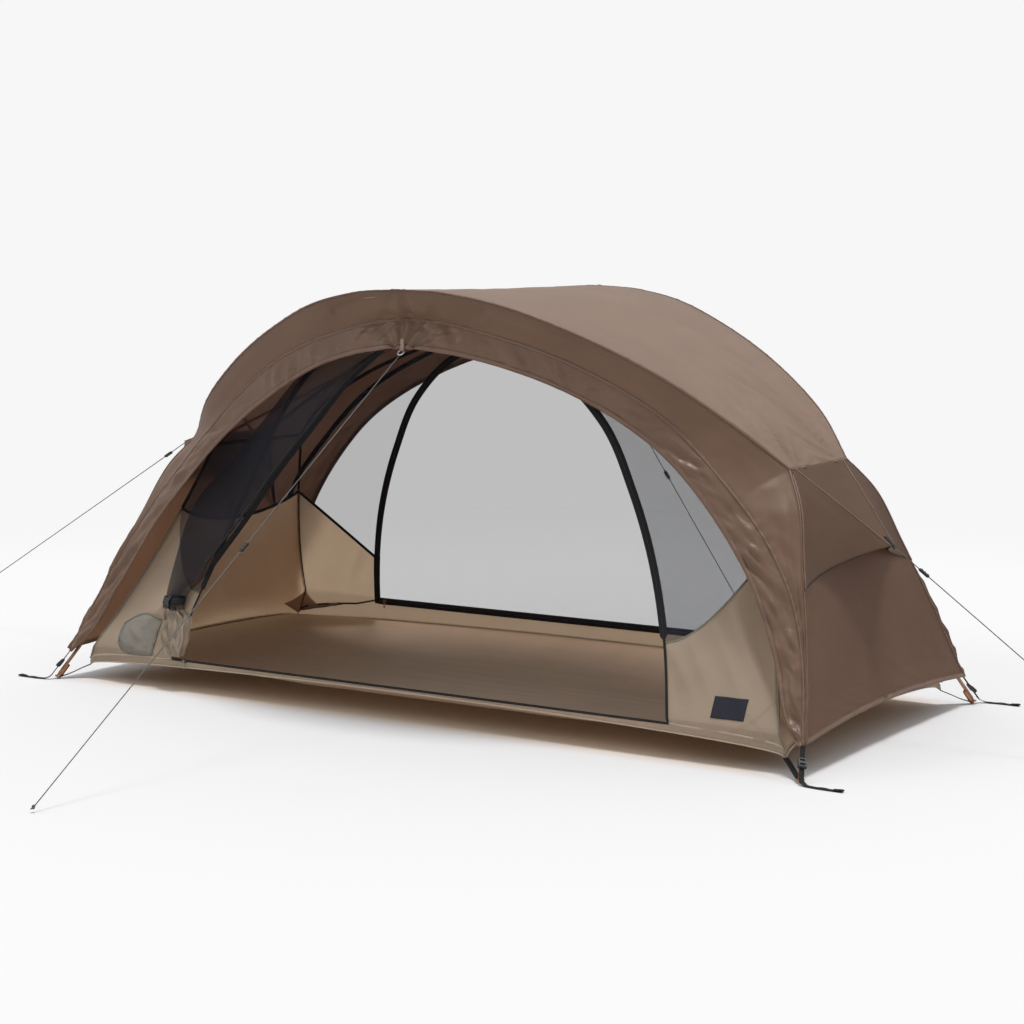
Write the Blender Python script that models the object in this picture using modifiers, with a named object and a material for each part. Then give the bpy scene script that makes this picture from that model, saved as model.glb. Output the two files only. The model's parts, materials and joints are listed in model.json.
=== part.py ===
import bpy
import bmesh
import math
import numpy as np

# Cot tent. +X runs along the tent, -Y is the open front, +Z is up. Metres.

FLY_THICK = 0.0010
INNER_THICK = 0.0010
FLOOR_THICK = 0.0010
RIDGE_SEAM_BACK = 0.0015
LEG_SEAM_BACK = 0.0015
VISOR_SEAM_BACK = 0.0003
POLE_RADIUS = 0.0045
COLLAR_SCALE = 1.30
COLLAR_LENGTH = 0.035
SECTION_SPLIT_X = 0.45
BUTT_GAP = 0.0005
LINE_RADIUS = 0.00125
KNOT_SCALE = 2.0
WEBBING_THICK = 0.0012
CORNER_WEBBING = 0.012
FOOT_WEBBING = 0.014
FIT_GAP = 0.0004
FOOT = (1.105, 0.510)
ZIP_WIDTH = 0.020
FRONT_LOW_ZIP_WIDTH = 0.006
ZIP_THICK = 0.0012
ZIP_STANDOFF = 0.0023
REAR_ZIP_STANDOFF = 0.0037
FRONT_SILL = 0.080
REAR_SILL = 0.118
VENT_TAB_HALF = 0.010

# Half outlines from the middle of the tent (x = 0) to a corner, as (|x|, |y|, z).
RIDGE = [(0, 0.460, 1.057), (0.25, 0.441, 1.029), (0.45, 0.382, 0.958), (0.65, 0.309, 0.854),
         (0.80, 0.240, 0.745), (0.90, 0.160, 0.647)]
LEG = [(0.90, 0.160, 0.647), (0.95, 0.212, 0.575), (0.995, 0.283, 0.440), (1.038, 0.352, 0.300),
       (1.075, 0.418, 0.165), (1.098, 0.468, 0.075)]
HOOD_SEAM = [(0, 0.405, 0.985), (0.25, 0.397, 0.945), (0.45, 0.358, 0.876), (0.65, 0.303, 0.758),
             (0.80, 0.295, 0.620), (0.92, 0.305, 0.485), (1.00, 0.338, 0.360), (1.048, 0.388, 0.244),
             (1.0915, 0.4735, 0.0735)]
HOOD_LIP = [(0, 0.442, 0.914), (0.25, 0.401, 0.876), (0.45, 0.347, 0.800), (0.65, 0.321, 0.678),
            (0.80, 0.333, 0.530), (0.90, 0.357, 0.400), (0.98, 0.398, 0.250), (1.048, 0.458, 0.105),
            (1.084, 0.480, 0.070)]
POLE = [(0, -0.4442, 1.048), (0.25, -0.4252, 1.019), (0.45, -0.364, 0.947), (0.63, -0.284, 0.846),
        (0.76, -0.165, 0.752), (0.855, 0, 0.672), (0.922, 0.135, 0.585), (0.970, 0.235, 0.460),
        (1.012, 0.320, 0.320), (1.050, 0.395, 0.180), (1.087, 0.468, 0.060), (1.1035, 0.5065, 0.014)]
INNER_RIDGE = [(0, 0.985), (0.25, 0.955), (0.45, 0.885), (0.65, 0.785), (0.78, 0.680), (0.815, 0.632)]
DOOR_ARC = [(0.700, 0.250), (0.645, 0.410), (0.567, 0.587), (0.480, 0.745), (0.375, 0.850),
            (0.20, 0.918), (0, 0.938)]

INNER_X = 1.040
INNER_Y = 0.452
WALL_BREAK = 0.010


def clear_file():
    for thing in list(bpy.data.objects):
        bpy.data.objects.remove(thing)


def new_collection(name):
    group = bpy.data.collections.new(name)
    bpy.context.scene.collection.children.link(group)
    return group


clear_file()
TENT = new_collection("cot_tent")
CUTTERS = new_collection("cutters")
PAINTS = {}


def paint(name, colour, rough=0.8, metal=0.0):
    if name not in PAINTS:
        mat = bpy.data.materials.new(name)
        mat.use_nodes = True
        shader = mat.node_tree.nodes["Principled BSDF"]
        shader.inputs["Base Color"].default_value = (*colour, 1)
        shader.inputs["Roughness"].default_value = rough
        shader.inputs["Metallic"].default_value = metal
        mat.diffuse_color = (*colour, 1)
        PAINTS[name] = mat
    return PAINTS[name]


FLY_TOP = (0.33, 0.26, 0.21)
FLY_BAND = (0.15, 0.11, 0.08)
FLY_END = (0.10, 0.065, 0.045)
BEIGE = (0.30, 0.24, 0.18)
FLOOR = (0.12, 0.09, 0.07)
MESH = (0.02, 0.018, 0.018)
BLACK = (0.012, 0.012, 0.012)
STEEL = (0.6, 0.6, 0.6)
COPPER = (0.45, 0.22, 0.12)
NAVY = (0.05, 0.05, 0.07)


def arc_lengths(points):
    return np.concatenate([[0], np.cumsum(np.linalg.norm(np.diff(points, axis=0), axis=1))])


def fine(points):
    """A smooth dense line through the points."""
    p = np.array(points, float)
    t = arc_lengths(p)
    slope = np.gradient(p, t, axis=0)
    u = np.linspace(0, t[-1], 600)
    k = np.clip(np.searchsorted(t, u, side="right") - 1, 0, len(t) - 2)
    h = (t[k + 1] - t[k])[:, None]
    s = (u - t[k])[:, None] / h
    return ((2 * s**3 - 3 * s**2 + 1) * p[k] + (s**3 - 2 * s**2 + s) * h * slope[k]
            + (3 * s**2 - 2 * s**3) * p[k + 1] + (s**3 - s**2) * h * slope[k + 1])


def at(points, fractions):
    """Points at the given fractions of a smooth line's length."""
    q = fine(points)
    a = arc_lengths(q)
    w = np.array(fractions) * a[-1]
    return np.stack([np.interp(w, a, q[:, i]) for i in range(q.shape[1])], axis=1)


def whole(half):
    """The full line from the left end to the right end, from its right half."""
    p = np.array(half, float)
    left = p[:0:-1].copy()
    left[:, 0] *= -1
    return np.concatenate([left, p])


def flipped(points, sx=1, sy=1):
    return np.array(points, float) * (sx, sy, 1)


def link(name, mesh, colour, rough=0.8, metal=0.0):
    thing = bpy.data.objects.new(name, mesh)
    mesh.materials.append(paint(name + "_paint", colour, rough, metal))
    TENT.objects.link(thing)
    return thing


def pulled(grid, back):
    """Draws the first and last rows and columns in by the given distances."""
    g = np.array(grid, float)

    def draw(edge, inner, gap):
        way = inner - edge
        return edge + way / np.linalg.norm(way, axis=-1, keepdims=True) * np.reshape(gap, (-1, 1))

    top, bottom, left, right = back
    if np.any(top):
        g[0] = draw(g[0], g[1], top)
    if np.any(bottom):
        g[-1] = draw(g[-1], g[-2], bottom)
    if np.any(left):
        g[:, 0] = draw(g[:, 0], g[:, 1], left)
    if np.any(right):
        g[:, -1] = draw(g[:, -1], g[:, -2], right)
    return g


def sheet(name, grid, thick, colour, back=(0, 0, 0, 0), loop=False, side=0):
    g = pulled(grid, back)
    rows, cols = g.shape[:2]
    faces = []
    last = rows if loop else rows - 1
    for i in range(last):
        j = (i + 1) % rows
        for c in range(cols - 1):
            faces.append((i * cols + c, i * cols + c + 1, j * cols + c + 1, j * cols + c))
    mesh = bpy.data.meshes.new(name)
    mesh.from_pydata([tuple(v) for v in g.reshape(-1, 3)], [], faces)
    thing = link(name, mesh, colour)
    solid = thing.modifiers.new("thickness", "SOLIDIFY")
    solid.thickness = thick
    solid.offset = side
    solid.use_even_offset = False
    return thing


def rod(name, points, radius, colour, sides=2, swell=None, rough=0.4, metal=0.0):
    line = bpy.data.curves.new(name, "CURVE")
    line.dimensions = "3D"
    line.bevel_depth = radius
    line.bevel_resolution = sides
    line.use_fill_caps = True
    spline = line.splines.new("POLY")
    spline.points.add(len(points) - 1)
    for k, p in enumerate(points):
        spline.points[k].co = (*p, 1)
        spline.points[k].radius = 1 if swell is None else swell[k]
    return link(name, line, colour, rough, metal)


def solid_mesh(name, verts, faces, colour, rough=0.5, metal=0.0):
    mesh = bpy.data.meshes.new(name)
    mesh.from_pydata([tuple(v) for v in verts], [], faces)
    work = bmesh.new()
    work.from_mesh(mesh)
    bmesh.ops.recalc_face_normals(work, faces=work.faces)
    work.to_mesh(mesh)
    work.free()
    return link(name, mesh, colour, rough, metal)


def axes_along(way, across):
    """Three square axes: along, across and out."""
    u = np.array(way, float)
    u /= np.linalg.norm(u)
    v = np.array(across, float)
    v -= u * np.dot(u, v)
    v /= np.linalg.norm(v)
    return u, v, np.cross(u, v)


def rounded_box(name, centre, axes, size, colour, round_by, rough=0.5, metal=0.0):
    c = np.array(centre)
    verts = []
    for a in (-0.5, 0.5):
        for b in (-0.5, 0.5):
            for d in (-0.5, 0.5):
                verts.append(c + a * size[0] * axes[0] + b * size[1] * axes[1] + d * size[2] * axes[2])
    faces = [(0, 1, 3, 2), (4, 6, 7, 5), (0, 4, 5, 1), (2, 3, 7, 6), (0, 2, 6, 4), (1, 5, 7, 3)]
    thing = solid_mesh(name, verts, faces, colour, rough, metal)
    edge = thing.modifiers.new("edge", "BEVEL")
    edge.width = round_by
    edge.segments = 1
    return thing


def sleeve(name, centre, axes, outer, hole, colour, rough=0.5, metal=0.0):
    """A block with a straight hole along its first axis, waisted in the middle."""
    c = np.array(centre)
    stations = [(-0.5, 0.82), (-0.25, 1.0), (0.25, 1.0), (0.5, 0.82)]
    corners = [(-1, -1), (1, -1), (1, 1), (-1, 1)]
    verts = []
    for along, fat in stations:
        for b, d in corners:
            verts.append(c + along * outer[0] * axes[0] + b * outer[1] / 2 * axes[1]
                         + d * outer[2] / 2 * fat * axes[2])
    for along in (-0.5, 0.5):
        for b, d in corners:
            verts.append(c + along * outer[0] * axes[0] + b * hole[0] / 2 * axes[1]
                         + d * hole[1] / 2 * axes[2])
    faces = []
    for s in range(3):
        for k in range(4):
            m = (k + 1) % 4
            faces.append((s * 4 + k, s * 4 + m, s * 4 + 4 + m, s * 4 + 4 + k))
    for k in range(4):
        m = (k + 1) % 4
        faces.append((16 + k, 20 + k, 20 + m, 16 + m))
        faces.append((k, 16 + k, 16 + m, m))
        faces.append((12 + k, 12 + m, 20 + m, 20 + k))
    return solid_mesh(name, verts, faces, colour, rough, metal)


def cut_boxes(thing, label, centre, axes, boxes):
    """Cuts boxes out of a solid, each given by its middle and its size along the three axes."""
    work = bmesh.new()
    for middle, size in boxes:
        made = bmesh.ops.create_cube(work, size=1.0)
        for vert in made["verts"]:
            spot = np.array(middle) + np.array(vert.co) * size
            vert.co = np.array(centre) + spot @ np.array(axes)
    if np.linalg.det(axes) < 0:
        bmesh.ops.reverse_faces(work, faces=work.faces)
    mesh = bpy.data.meshes.new(thing.name + "_" + label)
    work.to_mesh(mesh)
    work.free()
    cutter = bpy.data.objects.new(mesh.name, mesh)
    cutter.hide_render = True
    cutter.display_type = "WIRE"
    CUTTERS.objects.link(cutter)
    cut = thing.modifiers.new(label, "BOOLEAN")
    cut.object = cutter


def ribbon(name, path, across, width, thick, colour):
    p = np.array(path, float)
    v = np.array(across, float)
    v /= np.linalg.norm(v)
    grid = np.stack([p - v * width / 2, p + v * width / 2], axis=1)
    return sheet(name, grid, thick, colour)


# Fly sheet.

RIDGE_STEPS = 24
LEG_STEPS = 8
ridge_line = at(whole(RIDGE), np.linspace(0, 1, RIDGE_STEPS + 1))
leg_line = at(LEG, np.linspace(0, 1, LEG_STEPS + 1))
left_leg = flipped(leg_line[:0:-1], sx=-1)
edge_line = np.concatenate([left_leg, ridge_line, leg_line[1:]])
edge_share = arc_lengths(edge_line)
edge_share = edge_share / edge_share[-1]
seam_line = at(whole(HOOD_SEAM), edge_share)
lip_line = at(whole(HOOD_LIP), edge_share)


def belly(a, b, share):
    """A line midway between two lines, bowed out across the tent by a share of their distance."""
    mid = (a + b) / 2
    mid[:, 1] += share * np.linalg.norm(b - a, axis=1)
    return mid


hood_grid = np.stack([edge_line, belly(edge_line, seam_line, -0.04), seam_line,
                      belly(seam_line, lip_line, 0.03), lip_line], axis=1)
seam_gaps = np.full(len(edge_line), RIDGE_SEAM_BACK)
seam_gaps[:LEG_STEPS] = LEG_SEAM_BACK
seam_gaps[-LEG_STEPS:] = LEG_SEAM_BACK
for label, sy in (("front", -1), ("rear", 1)):
    sheet("fly_" + label + "_hood", flipped(hood_grid, sy=sy), FLY_THICK, FLY_BAND,
          (0, 0, seam_gaps, 0))

ROOF_COLUMNS = (-1, -0.5, 0, 0.5, 1)
ROOF_SAG = 0.004
roof_grid = np.stack([ridge_line * (1, c, 1) - np.array((0, 0, ROOF_SAG * (1 - c * c)))
                      for c in ROOF_COLUMNS], axis=1)
sheet("fly_roof", roof_grid, FLY_THICK, FLY_TOP)

END_COLUMNS = np.linspace(-1, 1, 7)
END_SAG = 0.008
HEM_ARCH = 0.020
VENT_TOP_STEP = 1


def end_grid(sx):
    rows = []
    for k in range(VENT_TOP_STEP, LEG_STEPS + 1):
        x, y, z = leg_line[k]
        row = []
        for c in END_COLUMNS:
            inward = END_SAG * (1 - c * c)
            lift = HEM_ARCH * (1 - c * c) if k == LEG_STEPS else 0
            row.append((sx * (x - inward), y * c, z + lift))
        rows.append(row)
    return np.array(rows)


VISOR_STANDOFF = 0.0030
VISOR_ROWS = 6
VISOR_LEG_SHARE = 0.47
VISOR_HOLLOW = 0.037


def visor_grid(sx, peak):
    side = at(LEG, np.linspace(0.03, VISOR_LEG_SHARE, VISOR_ROWS))
    side = side + np.array((VISOR_STANDOFF, 0, 0))
    top = np.array((0.9011, 0.135, 0.6459))
    tip = np.array((peak[0], VENT_TAB_HALF, peak[1]))
    rows = []
    for k in range(VISOR_ROWS):
        t = k / (VISOR_ROWS - 1)
        crease = top + (tip - top) * t
        flank = (side[k] + crease) / 2 - np.array((VISOR_HOLLOW * t * t, 0, 0))
        middle = crease * (1, 0, 1)
        half = [side[k], flank, crease]
        row = [p * (1, -1, 1) for p in half] + [middle] + half[::-1]
        rows.append([p * (sx, 1, 1) for p in row])
    return np.array(rows)


LEFT_PEAK = (1.075, 0.612)
RIGHT_PEAK = (1.094, 0.462)
for label, sx, peak in (("left", -1, LEFT_PEAK), ("right", 1, RIGHT_PEAK)):
    sheet("fly_" + label + "_end", end_grid(sx), FLY_THICK, FLY_END)
    sheet("fly_" + label + "_vent", visor_grid(sx, peak), FLY_THICK, FLY_TOP,
          (0, 0, VISOR_SEAM_BACK, VISOR_SEAM_BACK))

# Poles: each hoop stands on one side's feet and arches over the other side's ridge.

HOOP_DROP = (0.009, 0.011)


def hoop(label, sy, lower):
    half = [(x, y * sy, z) for x, y, z in POLE]
    if lower:
        half = [(x - HOOP_DROP[0], y, z - HOOP_DROP[1]) if 0.7 < x < 0.93 else (x, y, z)
                for x, y, z in half]
    line = fine(half)
    share = arc_lengths(line)
    cut = np.interp(SECTION_SPLIT_X, line[:, 0], share)
    top_half = np.linspace(0, cut, 9)
    crown = np.stack([np.interp(top_half, share, line[:, i]) for i in range(3)], axis=1)
    collar = [cut - COLLAR_LENGTH, cut - COLLAR_LENGTH + 0.001]
    marks = sorted(list(top_half[:-1]) + collar + [cut])
    crown = np.stack([np.interp(marks, share, line[:, i]) for i in range(3)], axis=1)
    fat = [COLLAR_SCALE if m >= collar[1] - 1e-9 else 1 for m in marks]
    both = np.concatenate([flipped(crown[:0:-1], sx=-1), crown])
    rod(label + "_crown", both, POLE_RADIUS, COPPER, 2, fat[:0:-1] + fat, 0.35, 0.8)
    run = np.linspace(cut + BUTT_GAP, share[-1], 18)
    leg = np.stack([np.interp(run, share, line[:, i]) for i in range(3)], axis=1)
    foot = np.array((FOOT[0], FOOT[1] * sy, 0))
    leg = np.concatenate([leg, [foot + (0, 0, 0.006)], [foot]])
    for name, sx in (("right", 1), ("left", -1)):
        rod(label + "_leg_" + name, flipped(leg, sx=sx), POLE_RADIUS, COPPER, 2, None, 0.35, 0.8)


hoop("front_hoop", -1, False)
hoop("rear_hoop", 1, True)

# Inner tent.


def wall_y(x, z, sy):
    """The side walls stand up to just above the zip and then lean in, more so near the ends."""
    lean = 0.10 + 0.60 * x * x
    upright = (FRONT_SILL if sy < 0 else REAR_SILL) + WALL_BREAK
    return INNER_Y - max(0.0, z - upright) * lean


def end_x(z):
    return INNER_X - 0.38 * max(0.0, z - 0.045)


def on_wall(x, z, sy, out=0.0):
    return (x, sy * (wall_y(x, z, sy) + out), z)


FLOOR_FLAT = FLOOR_THICK / 2
EDGE_LOW = 0.036
EDGE_RISE = 0.033
FLOOR_X_STEPS = (-1, -0.9, -0.75, -0.55, -0.3, 0, 0.3, 0.55, 0.75, 0.9, 1)
FLOOR_Y_STEPS = (-1, -0.85, -0.65, -0.35, 0, 0.35, 0.65, 0.85, 1)


def middle_share(x):
    """One in the middle of the long side, nothing at its corners, steep near the corners."""
    return math.cos(min(abs(x) / INNER_X, 1) * math.pi / 2) ** 0.4


def floor_edge(x):
    """Height of the tub's bottom edge: low at the corners, pulled up in the middle."""
    return EDGE_LOW + EDGE_RISE * middle_share(x)


def upturn(share):
    """The floor lies flat in the middle and rises smoothly to its hung edge."""
    return max(0.0, (abs(share) - 0.35) / 0.65) ** 1.5


def sill_top(x, sill):
    edge = floor_edge(x)
    return edge + 0.010 + (sill - 0.002 - edge - 0.010) * middle_share(x)


def floor_grid():
    rows = []
    for a in FLOOR_X_STEPS:
        x = a * INNER_X
        row = []
        for b in FLOOR_Y_STEPS:
            side_up = upturn(b)
            lift = floor_edge(x) * side_up + EDGE_LOW * upturn(a) * (1 - side_up)
            row.append((x, b * INNER_Y, max(FLOOR_FLAT, lift)))
        row.insert(0, (x, -INNER_Y, sill_top(x, FRONT_SILL)))
        row.append((x, INNER_Y, sill_top(x, REAR_SILL)))
        rows.append(row)
    return np.array(rows)


sheet("floor_tub", floor_grid(), FLOOR_THICK, FLOOR)


CORNER_TOP = 0.452
END_DIP = 0.050
END_WALL_FOOT = 0.0394
PANEL_GAP = 0.0002
CORNER_GAP = 0.0013
PANEL_STEPS = 4
MESH_STEPS = 12


def corner_heights(sill):
    """Heights shared by the end walls and the side panels where they meet."""
    upright = sill + WALL_BREAK
    return [END_WALL_FOOT, upright] + list(np.linspace(upright, CORNER_TOP, PANEL_STEPS)[1:])


def end_wall(name, sx, heights, colour):
    """A wall across the tent's end, from heights at its front and rear edges and a dip in its top."""
    grid = []
    for front_z, rear_z, dip in heights:
        row = []
        for c in np.linspace(-1, 1, 7):
            z = front_z + (rear_z - front_z) * (c + 1) / 2 - dip * (1 - c * c)
            x = end_x(z)
            row.append((sx * x, c * (wall_y(x, z, c) - CORNER_GAP), z))
        grid.append(row)
    sheet(name, np.array(grid), INNER_THICK, colour)


SHOULDER_Z = 0.630
wall_heights = [(f, r, END_DIP * (k / PANEL_STEPS) ** 2)
                for k, (f, r) in enumerate(zip(corner_heights(FRONT_SILL), corner_heights(REAR_SILL)))]
mesh_heights = [(CORNER_TOP + 2 * PANEL_GAP + (SHOULDER_Z - 0.004 - CORNER_TOP) * t,) * 2 + (END_DIP * (1 - t),)
                for t in (0, 0.33, 0.67, 1)]
for label, sx in (("left", -1), ("right", 1)):
    end_wall("inner_" + label + "_wall", sx, wall_heights, BEIGE)
    end_wall("inner_" + label + "_mesh", sx, mesh_heights, MESH)

ridge_xz = whole([(x, 0, z) for x, z in INNER_RIDGE])
inner_stations = at(ridge_xz, np.linspace(0, 1, 19))
roof = []
for x, _, z in inner_stations:
    reach = {c: wall_y(x, z, c) - 0.001 for c in (-1, 1)}
    roof.append([(x, reach[1 if c > 0 else -1] * c, z - 0.006 * (1 - c * c)) for c in (-1, -0.5, 0, 0.5, 1)])
sheet("inner_roof_mesh", np.array(roof), INNER_THICK, MESH)


DOOR_FOOT_X = {FRONT_SILL: 0.745, REAR_SILL: 0.738}
PANEL_TOP_Z = 0.250


def door_stations(sill):
    """Points up the door's edge: the beige panel's first, then the mesh's, to the top middle."""
    path = [(DOOR_FOOT_X[sill], 0, sill)] + [(x, 0, z) for x, z in DOOR_ARC]
    line = fine(path)
    a = arc_lengths(line)
    split = float(np.interp(PANEL_TOP_Z, line[:200, 2], a[:200]) / a[-1])
    bend = 0.020 / a[-1]
    share = [0] + list(np.linspace(bend, split, PANEL_STEPS))
    share += list(np.linspace(split, 1, MESH_STEPS + 1)[1:])
    return at(path, share)


for end, sill, sy in (("front", FRONT_SILL, -1), ("rear", REAR_SILL, 1)):
    arc = door_stations(sill)
    low_arc = arc[:PANEL_STEPS + 1]
    high_arc = arc[PANEL_STEPS:]
    corner_z = corner_heights(sill)
    corner_z[0] = sill_top(INNER_X, sill) + 0.004
    outer_low = np.array([(end_x(z), 0, z) for z in corner_z])
    rim = [(end_x(z), 0, z) for z in np.linspace(CORNER_TOP, SHOULDER_Z - 0.0024, 4)]
    rim += [(x, 0, z - 0.0024) for x, z in INNER_RIDGE[::-1][1:]]
    outer_high = at(rim, np.linspace(0, 1, 13))
    for label, sx in (("left", -1), ("right", 1)):
        grid = []
        for k in range(5):
            row = []
            for t in (0, 0.055, 0.33, 0.67, 1):
                x = low_arc[k][0] * (1 - t) + outer_low[k][0] * t
                z = low_arc[k][2] * (1 - t) + outer_low[k][2] * t
                if k == 0:
                    z = max(z, sill_top(x, sill) + 0.0018)
                px, py, pz = on_wall(x, z, sy)
                row.append((sx * px, py, pz))
            grid.append(row)
        sheet("inner_" + end + "_" + label + "_panel", np.array(grid), INNER_THICK, BEIGE,
              (0, PANEL_GAP, PANEL_GAP, PANEL_GAP))
        grid = []
        for k in range(13):
            row = []
            width = math.dist(high_arc[k], outer_high[k])
            for t in (0, 0.014 / width, 0.5, 1):
                x = high_arc[k][0] * (1 - t) + outer_high[k][0] * t
                z = high_arc[k][2] * (1 - t) + outer_high[k][2] * t
                px, py, pz = on_wall(x, z, sy)
                row.append((sx * px, py, pz))
            grid.append(row)
        sheet("inner_" + end + "_" + label + "_mesh", np.array(grid), INNER_THICK, MESH,
              (PANEL_GAP, PANEL_GAP, PANEL_GAP, PANEL_GAP))

door = []
for x, _, z in door_stations(REAR_SILL)[:-1]:
    edge = max(0.3, 1 - 0.014 / x)
    door.append([on_wall(x * c, z, 1) for c in (-1, -edge, -0.8 * edge, -0.45 * edge, 0, 0.45 * edge, 0.8 * edge,
                                                edge, 1)])
sheet("rear_door_mesh", np.array(door), INNER_THICK, MESH, (PANEL_GAP, 0, PANEL_GAP, PANEL_GAP))


def zip_loop(sill, sy, out, low_width):
    half = [(x, z) for x, _, z in door_stations(sill)]
    left = [(-x, z) for x, z in half[::-1][1:]]
    base = [(x, sill) for x in np.linspace(-half[0][0], half[0][0], 10)[1:-1]]
    ring = np.array(half + left + base)
    before = np.roll(ring, 1, axis=0)
    after = np.roll(ring, -1, axis=0)
    way_in = ring - before
    way_out = after - ring
    way_in /= np.linalg.norm(way_in, axis=1, keepdims=True)
    way_out /= np.linalg.norm(way_out, axis=1, keepdims=True)
    mean = way_in + way_out
    mean /= np.linalg.norm(mean, axis=1, keepdims=True)
    normal = np.stack([mean[:, 1], -mean[:, 0]], axis=1)
    stretch = 1 / np.clip(np.sum(normal * np.stack([way_in[:, 1], -way_in[:, 0]], axis=1), axis=1), 0.5, 1)
    narrow = np.full(len(ring), low_width)
    high = ring[:, 1] > PANEL_TOP_Z + 0.01
    narrow[high] = ZIP_WIDTH
    grid = []
    for side in (0.5, -0.5):
        shifted = ring + normal * (stretch * side * narrow)[:, None]
        grid.append([on_wall(x, z, sy, out) for x, z in shifted])
    return np.array(grid).transpose(1, 0, 2)


sheet("front_zip_track", zip_loop(FRONT_SILL, -1, ZIP_STANDOFF, FRONT_LOW_ZIP_WIDTH), ZIP_THICK, BLACK, loop=True)
sheet("rear_zip_track", zip_loop(REAR_SILL, 1, -REAR_ZIP_STANDOFF, ZIP_WIDTH), ZIP_THICK, BLACK, loop=True)

# Zip sliders and their pullers.

SLIDER = (0.014, 0.010, 0.005)
PULLER = (0.024, 0.006, 0.002)


def slider_and_puller(end, x, sill, sy):
    face = INNER_Y + ZIP_STANDOFF + ZIP_THICK / 2 if sy < 0 else INNER_Y - REAR_ZIP_STANDOFF - ZIP_THICK / 2
    out = 1 if sy < 0 else -1
    y = face + out * (FIT_GAP + SLIDER[2] / 2)
    axes = (np.array((1.0, 0, 0)), np.array((0, 0, 1.0)), np.array((0, 1.0, 0)))
    rounded_box(end + "_zip_slider", (x, sy * y, sill), axes, SLIDER, COPPER, 0.0012, 0.35, 0.6)
    y += out * (SLIDER[2] / 2 + FIT_GAP + PULLER[2] / 2)
    axes = (np.array((0, 0, 1.0)), np.array((1.0, 0, 0)), np.array((0, 1.0, 0)))
    rounded_box(end + "_zip_puller", (x, sy * y, sill - PULLER[0] / 2 + 0.004), axes, PULLER, COPPER,
                0.0006, 0.35, 0.6)


slider_and_puller("front", -0.700, FRONT_SILL, -1)
slider_and_puller("rear", -0.705, REAR_SILL, 1)

# Front door rolled up at the left: a bundle with long folds, narrowed by its tie.

BUNDLE = [(-0.300, 0.850, 0.030, 0.007), (-0.420, 0.765, 0.070, 0.011), (-0.520, 0.675, 0.100, 0.018),
          (-0.630, 0.565, 0.110, 0.024), (-0.700, 0.455, 0.095, 0.025), (-0.745, 0.350, 0.062, 0.024),
          (-0.765, 0.262, 0.034, 0.020), (-0.770, 0.222, 0.026, 0.018), (-0.775, 0.185, 0.034, 0.018),
          (-0.790, 0.135, 0.058, 0.014)]
BUNDLE_OUT = 0.0042
TIE_DEPTH = 0.0183
BUNDLE_FOLDS = 6
BUNDLE_SIDES = 24


def bundle_ring(x, z, half_width, half_depth, way, twist):
    normal = np.array((way[1], -way[0]))
    ring = []
    for k in range(BUNDLE_SIDES):
        a = 2 * math.pi * k / BUNDLE_SIDES
        fold = 1 + 0.16 * math.cos(BUNDLE_FOLDS * a + twist)
        du = math.cos(a) * half_width
        dn = math.sin(a) * half_depth * fold
        px = x + normal[0] * du
        pz = z + normal[1] * du
        centre = wall_y(px, pz, -1) + BUNDLE_OUT + 1.16 * half_depth
        ring.append((px, -(centre + dn), pz))
    return ring


def bundle():
    line = np.array([(x, z) for x, z, _, _ in BUNDLE])
    ways = np.gradient(line, axis=0)
    ways /= np.linalg.norm(ways, axis=1, keepdims=True)
    verts = []
    for k, (x, z, half_width, half_depth) in enumerate(BUNDLE):
        verts += bundle_ring(x, z, half_width, half_depth, ways[k], 0.5 * k)
    n = BUNDLE_SIDES
    faces = []
    for s in range(len(BUNDLE) - 1):
        for k in range(n):
            m = (k + 1) % n
            faces.append((s * n + k, s * n + m, s * n + n + m, s * n + n + k))
    faces.append(tuple(range(n)))
    faces.append(tuple(range((len(BUNDLE) - 1) * n, len(BUNDLE) * n)))
    solid_mesh("front_door_roll", verts, faces, MESH, 0.8)


bundle()

TIE_AT = (-0.7695, 0.230)
TIE_HALF = (0.0360, 0.0240)
TIE_WIDTH = 0.018
BUCKLE = (0.034, 0.020, 0.006)


def tie_loop():
    x, z = TIE_AT
    grid = []
    for k in range(20):
        a = 2 * math.pi * k / 20
        px = x + math.cos(a) * TIE_HALF[0]
        row = []
        for pz in (z - TIE_WIDTH / 2, z + TIE_WIDTH / 2):
            y = wall_y(px, pz, -1) + BUNDLE_OUT + 1.16 * TIE_DEPTH
            row.append((px, -(y + math.sin(a) * TIE_HALF[1]), pz))
        grid.append(row)
    sheet("door_tie", np.array(grid), WEBBING_THICK, BLACK, loop=True)
    lean = 0.10 + 0.60 * x * x
    flat = axes_along((0, lean, 1), (1, 0, 0))
    y = wall_y(x, z, -1) + BUNDLE_OUT + 1.16 * TIE_DEPTH + TIE_HALF[1] + WEBBING_THICK / 2
    centre = (x, -(y + 0.0041), z)
    buckle = rounded_box("door_tie_buckle", centre, flat, BUCKLE, BLACK, 0.0015, 0.4)
    notches = [((0, side * BUCKLE[1] / 2, 0), (0.012, 0.006, 0.010)) for side in (-1, 1)]
    slots = [((side * 0.0125, 0, 0), (0.0026, 0.0130, 0.010)) for side in (-1, 1)]
    cut_boxes(buckle, "notches_and_slots", centre, flat, notches + slots)


tie_loop()


def pocket():
    """A small slack bag against the front left panel, with its top edge gathered."""
    xs = np.linspace(-0.965, -0.850, 9)
    grid = []
    for t in np.linspace(0, 1, 5):
        row = []
        for k, x in enumerate(xs):
            z = 0.098 + 0.080 * t
            out = 0.0048 + 0.012 * math.sin(math.pi * t) + 0.0035 * math.cos(k * 2.1) * (0.3 + t)
            row.append(on_wall(x, z, -1, out))
        grid.append(row)
    sheet("gear_pocket", np.array(grid), INNER_THICK, BEIGE)


pocket()

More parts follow.
